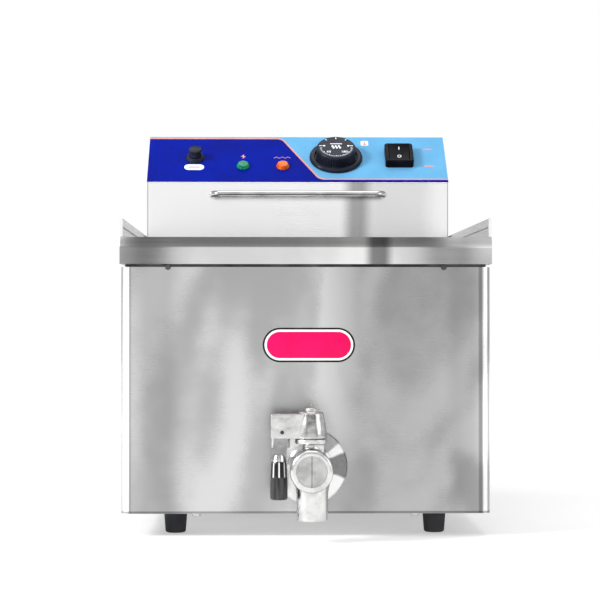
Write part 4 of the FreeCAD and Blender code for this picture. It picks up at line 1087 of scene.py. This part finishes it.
# %% Tap body
cast_body = fuse("cast_body", [
    bulk(forward, [(18.5, -40.5), (18.4, -39.0), (16.4, -36.0), (15.2, -33.0), (14.6, -20.0), (14.6, 1.0),
                   (16.6, 5.0), (16.9, 6.0), (16.9, 16.8), (16.3, 18.2), (15.0, 19.1)]),
    bulk(upright @ Matrix.Translation((0.8 * MM, 0, 0)),
         [(11.9, -39.9), (12.3, -39.2), (12.4, -30.0), (12.5, -19.0), (12.9, -15.5), (13.8, -11.0),
          (14.2, -4.0), (13.0, 0.0)]),
    bulk(upright, [(12.5, 0.0), (12.0, 9.0), (11.0, 11.0), (8.0, 15.0), (7.2, 18.0), (7.2, 20.9)]),
    slab(upright, (4.4, -5.6, 7.0), (10.2, 1.6, 20.9), 1.8),
], 0.55, 7, 0.45, finishes["cast"])
cut_away(cast_body, [
    block_on(forward, circle(10.55), -44.0, -32.0), block_on(forward, circle(7.5), -34.0, -4.0),
    block_on(forward, circle(11.85), -11.8, 12.0), block_on(forward, circle(12.25), 11.7, 22.0),
    block_on(upright, circle(8.5), -42.0, -16.0), block_on(upright, circle(9.0), -16.1, -12.0),
    block_on(upright, circle(9.0), -12.1, -2.0), block_on(upright, circle(5.05), 2.0, 24.0)])
dress(cast_body, "root", "cast_tap", "tap_body")

# %% [markdown]
# ## The lever hub and the grip
# The hub is cast too: a bell over the stem, with a fork on its left side that holds the
# folding lever. The grip's upper half has eight shallow grooves, each with a painted highlight
# made by a stripe pattern that follows the angle round the grip; its lower half is plain and
# dull.

# %% Lever hub
fold = Vector(joints["handle_fold"]["pos_m"])
pin_x, pin_z = (fold.x - stem.x) / MM, (fold.z - stem.z) / MM
cast_hub = fuse("cast_hub", [
    bulk(upright, [(12.2, 25.1), (12.7, 25.9), (12.5, 29.0), (11.5, 36.0), (10.4, 42.0), (9.8, 44.6),
                   (8.9, 46.0)]),
    slab(upright, (-32.0, -8.5, 25.1), (-4.0, 8.5, 44.4)),
    slab(upright, (-31.6, 2.9, 17.2), (-16.8, 8.5, 27.0), 2.4),
], 0.5, 4, 0.5, finishes["matte_cast"])
cut_away(cast_hub, [
    slab(upright, (-36.0, -2.85, 10.0), (-13.5, 2.85, pin_z + 7.4), 0.4),
    block_on(upright, circle(5.0), 20.0, 41.0), block_on(upright, circle(2.6), 40.0, 50.0),
    block_on(forward, shifted(circle(1.55, 32), pin_x, pin_z), -12.0, 12.0)])
dress(cast_hub, "tap_lever", "cast_tap", "lever_hub")


# %% Grip
groove_count = 8


def striped_grip(centre, low, high):
    """Black, with a painted highlight along each groove between two heights."""
    material, tree, shader, where = new_finish("grip_striped", 0.0, 0.34)
    parts = wire(tree, "ShaderNodeSeparateXYZ", {0: where})
    angle = calc(tree, "ARCTAN2", calc(tree, "SUBTRACT", parts.outputs[1], centre.y),
                 calc(tree, "SUBTRACT", parts.outputs[0], centre.x))
    wave = calc(tree, "COSINE", calc(tree, "MULTIPLY", calc(tree, "SUBTRACT", angle, -math.pi / 2.0),
                                        groove_count))
    upper = bump_band(tree, parts.outputs[2], (low + high) / 2.0, (high - low) / 2.0, 0.0005)
    groove_highlight = calc(tree, "MULTIPLY", ramp(tree, wave, 0.45, 0.85), upper)
    patches = noise(tree, where, 300.0, 4.0, (1, 1, 0.12))
    plain = tint(tree, from_noise(tree, patches), (0.018, 0.018, 0.019), (0.075, 0.075, 0.076))
    deep = tint(tree, from_noise(tree, patches), (0.004, 0.004, 0.005), (0.012, 0.012, 0.013))
    body = wire(tree, "ShaderNodeMix", {0: upper, 6: plain, 7: deep}, data_type="RGBA").outputs[2]
    # The painted highlight's colour, a pale grey laid into each groove.
    light = tint(tree, patches, (0.62, 0.62, 0.62), (0.85, 0.85, 0.85))
    colour = wire(tree, "ShaderNodeMix", {0: groove_highlight, 6: body, 7: light}, data_type="RGBA").outputs[2]
    tree.links.new(colour, shader.inputs["Base Color"])
    tree.links.new(from_noise(tree, patches, 0.30, 0.46), shader.inputs["Roughness"])
    shader.inputs["Specular IOR Level"].default_value = 0.25
    raise_bumps(tree, shader, [(patches, 0.3, 0.0004)])
    return material


grip_low, grip_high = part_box("handle_grip")
grip_at = Vector(((grip_low.x + grip_high.x) / 2.0, (grip_low.y + grip_high.y) / 2.0, grip_low.z))
grip_tall = (grip_high.z - grip_low.z) / MM


def grooved(angle, radius, height):
    """Shallow grooves in the upper part."""
    if height > grip_tall - 14.0 and radius > 4.0:
        return radius - 0.55 * max(0.0, math.cos((angle + math.pi / 2.0) * groove_count)) ** 2
    return radius


grip_profile = [(2.6, 0.0), (5.4, 0.0), (6.2, 0.3), (6.75, 1.0), (6.9, 2.2), (6.95, 12.0),
                (6.8, grip_tall - 13.0), (6.75, grip_tall - 12.6), (6.55, grip_tall - 12.2),
                (6.2, grip_tall - 3.0), (5.9, grip_tall - 0.5), (5.4, grip_tall), (2.6, grip_tall)]
grip = lathe("grip", Matrix.Translation(grip_at), grip_profile,
             striped_grip(grip_at, grip_high.z - 12.4 * MM, grip_high.z - 0.6 * MM), 128, grooved,
             ring_solid=True)
dress(grip, "tap_handle", "black_plastic", "handle_grip")

# %% [markdown]
# ## The apron's soft bend
# The front strip of the tray leans back above a soft bend. A press brake cannot fold a crisp
# line, so the bend is drawn as an arc a few millimetres wide, and that arc turns the dark upper
# tone into the light lower one; the apron's finish adds painted shade along the top edge as
# well. The strip is one profile pushed across the tray.

# %% Apron
apron_low, apron_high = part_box("front_apron")


def build_apron():
    sheet, lean = 0.8, (apron_high.y - apron_low.y) / MM - 0.8
    tall, wide = (apron_high.z - apron_low.z) / MM, (apron_high.x - apron_low.x) / MM
    knee = tall - 8.2
    front = rounded_path([(0.0, 0.0), (0.0, knee), (lean, tall)], 9.0, 10)
    back = [point + Vector((sheet, 0.0)) for point in reversed(front)]
    outline = [tuple(point) for point in back + front]
    at = Vector(((apron_low.x + apron_high.x) / 2.0, apron_low.y, apron_low.z))
    form = bmesh.new()
    rings = [([(a + inset, b) for a, b in outline], x) for x, inset in
             ((-wide / 2, 0.25), (-wide / 2 + 0.3, 0.0), (wide / 2 - 0.3, 0.0), (wide / 2, 0.25))]
    add_stack(form, Matrix.Translation(at) @ sideways, rings)
    bmesh.ops.recalc_face_normals(form, faces=form.faces)
    return finish_form("apron", form, [finishes["apron"]], 38)


apron = build_apron()
dress(apron, "root", "tray_steel", "front_apron")

# %% End
print("scene built")
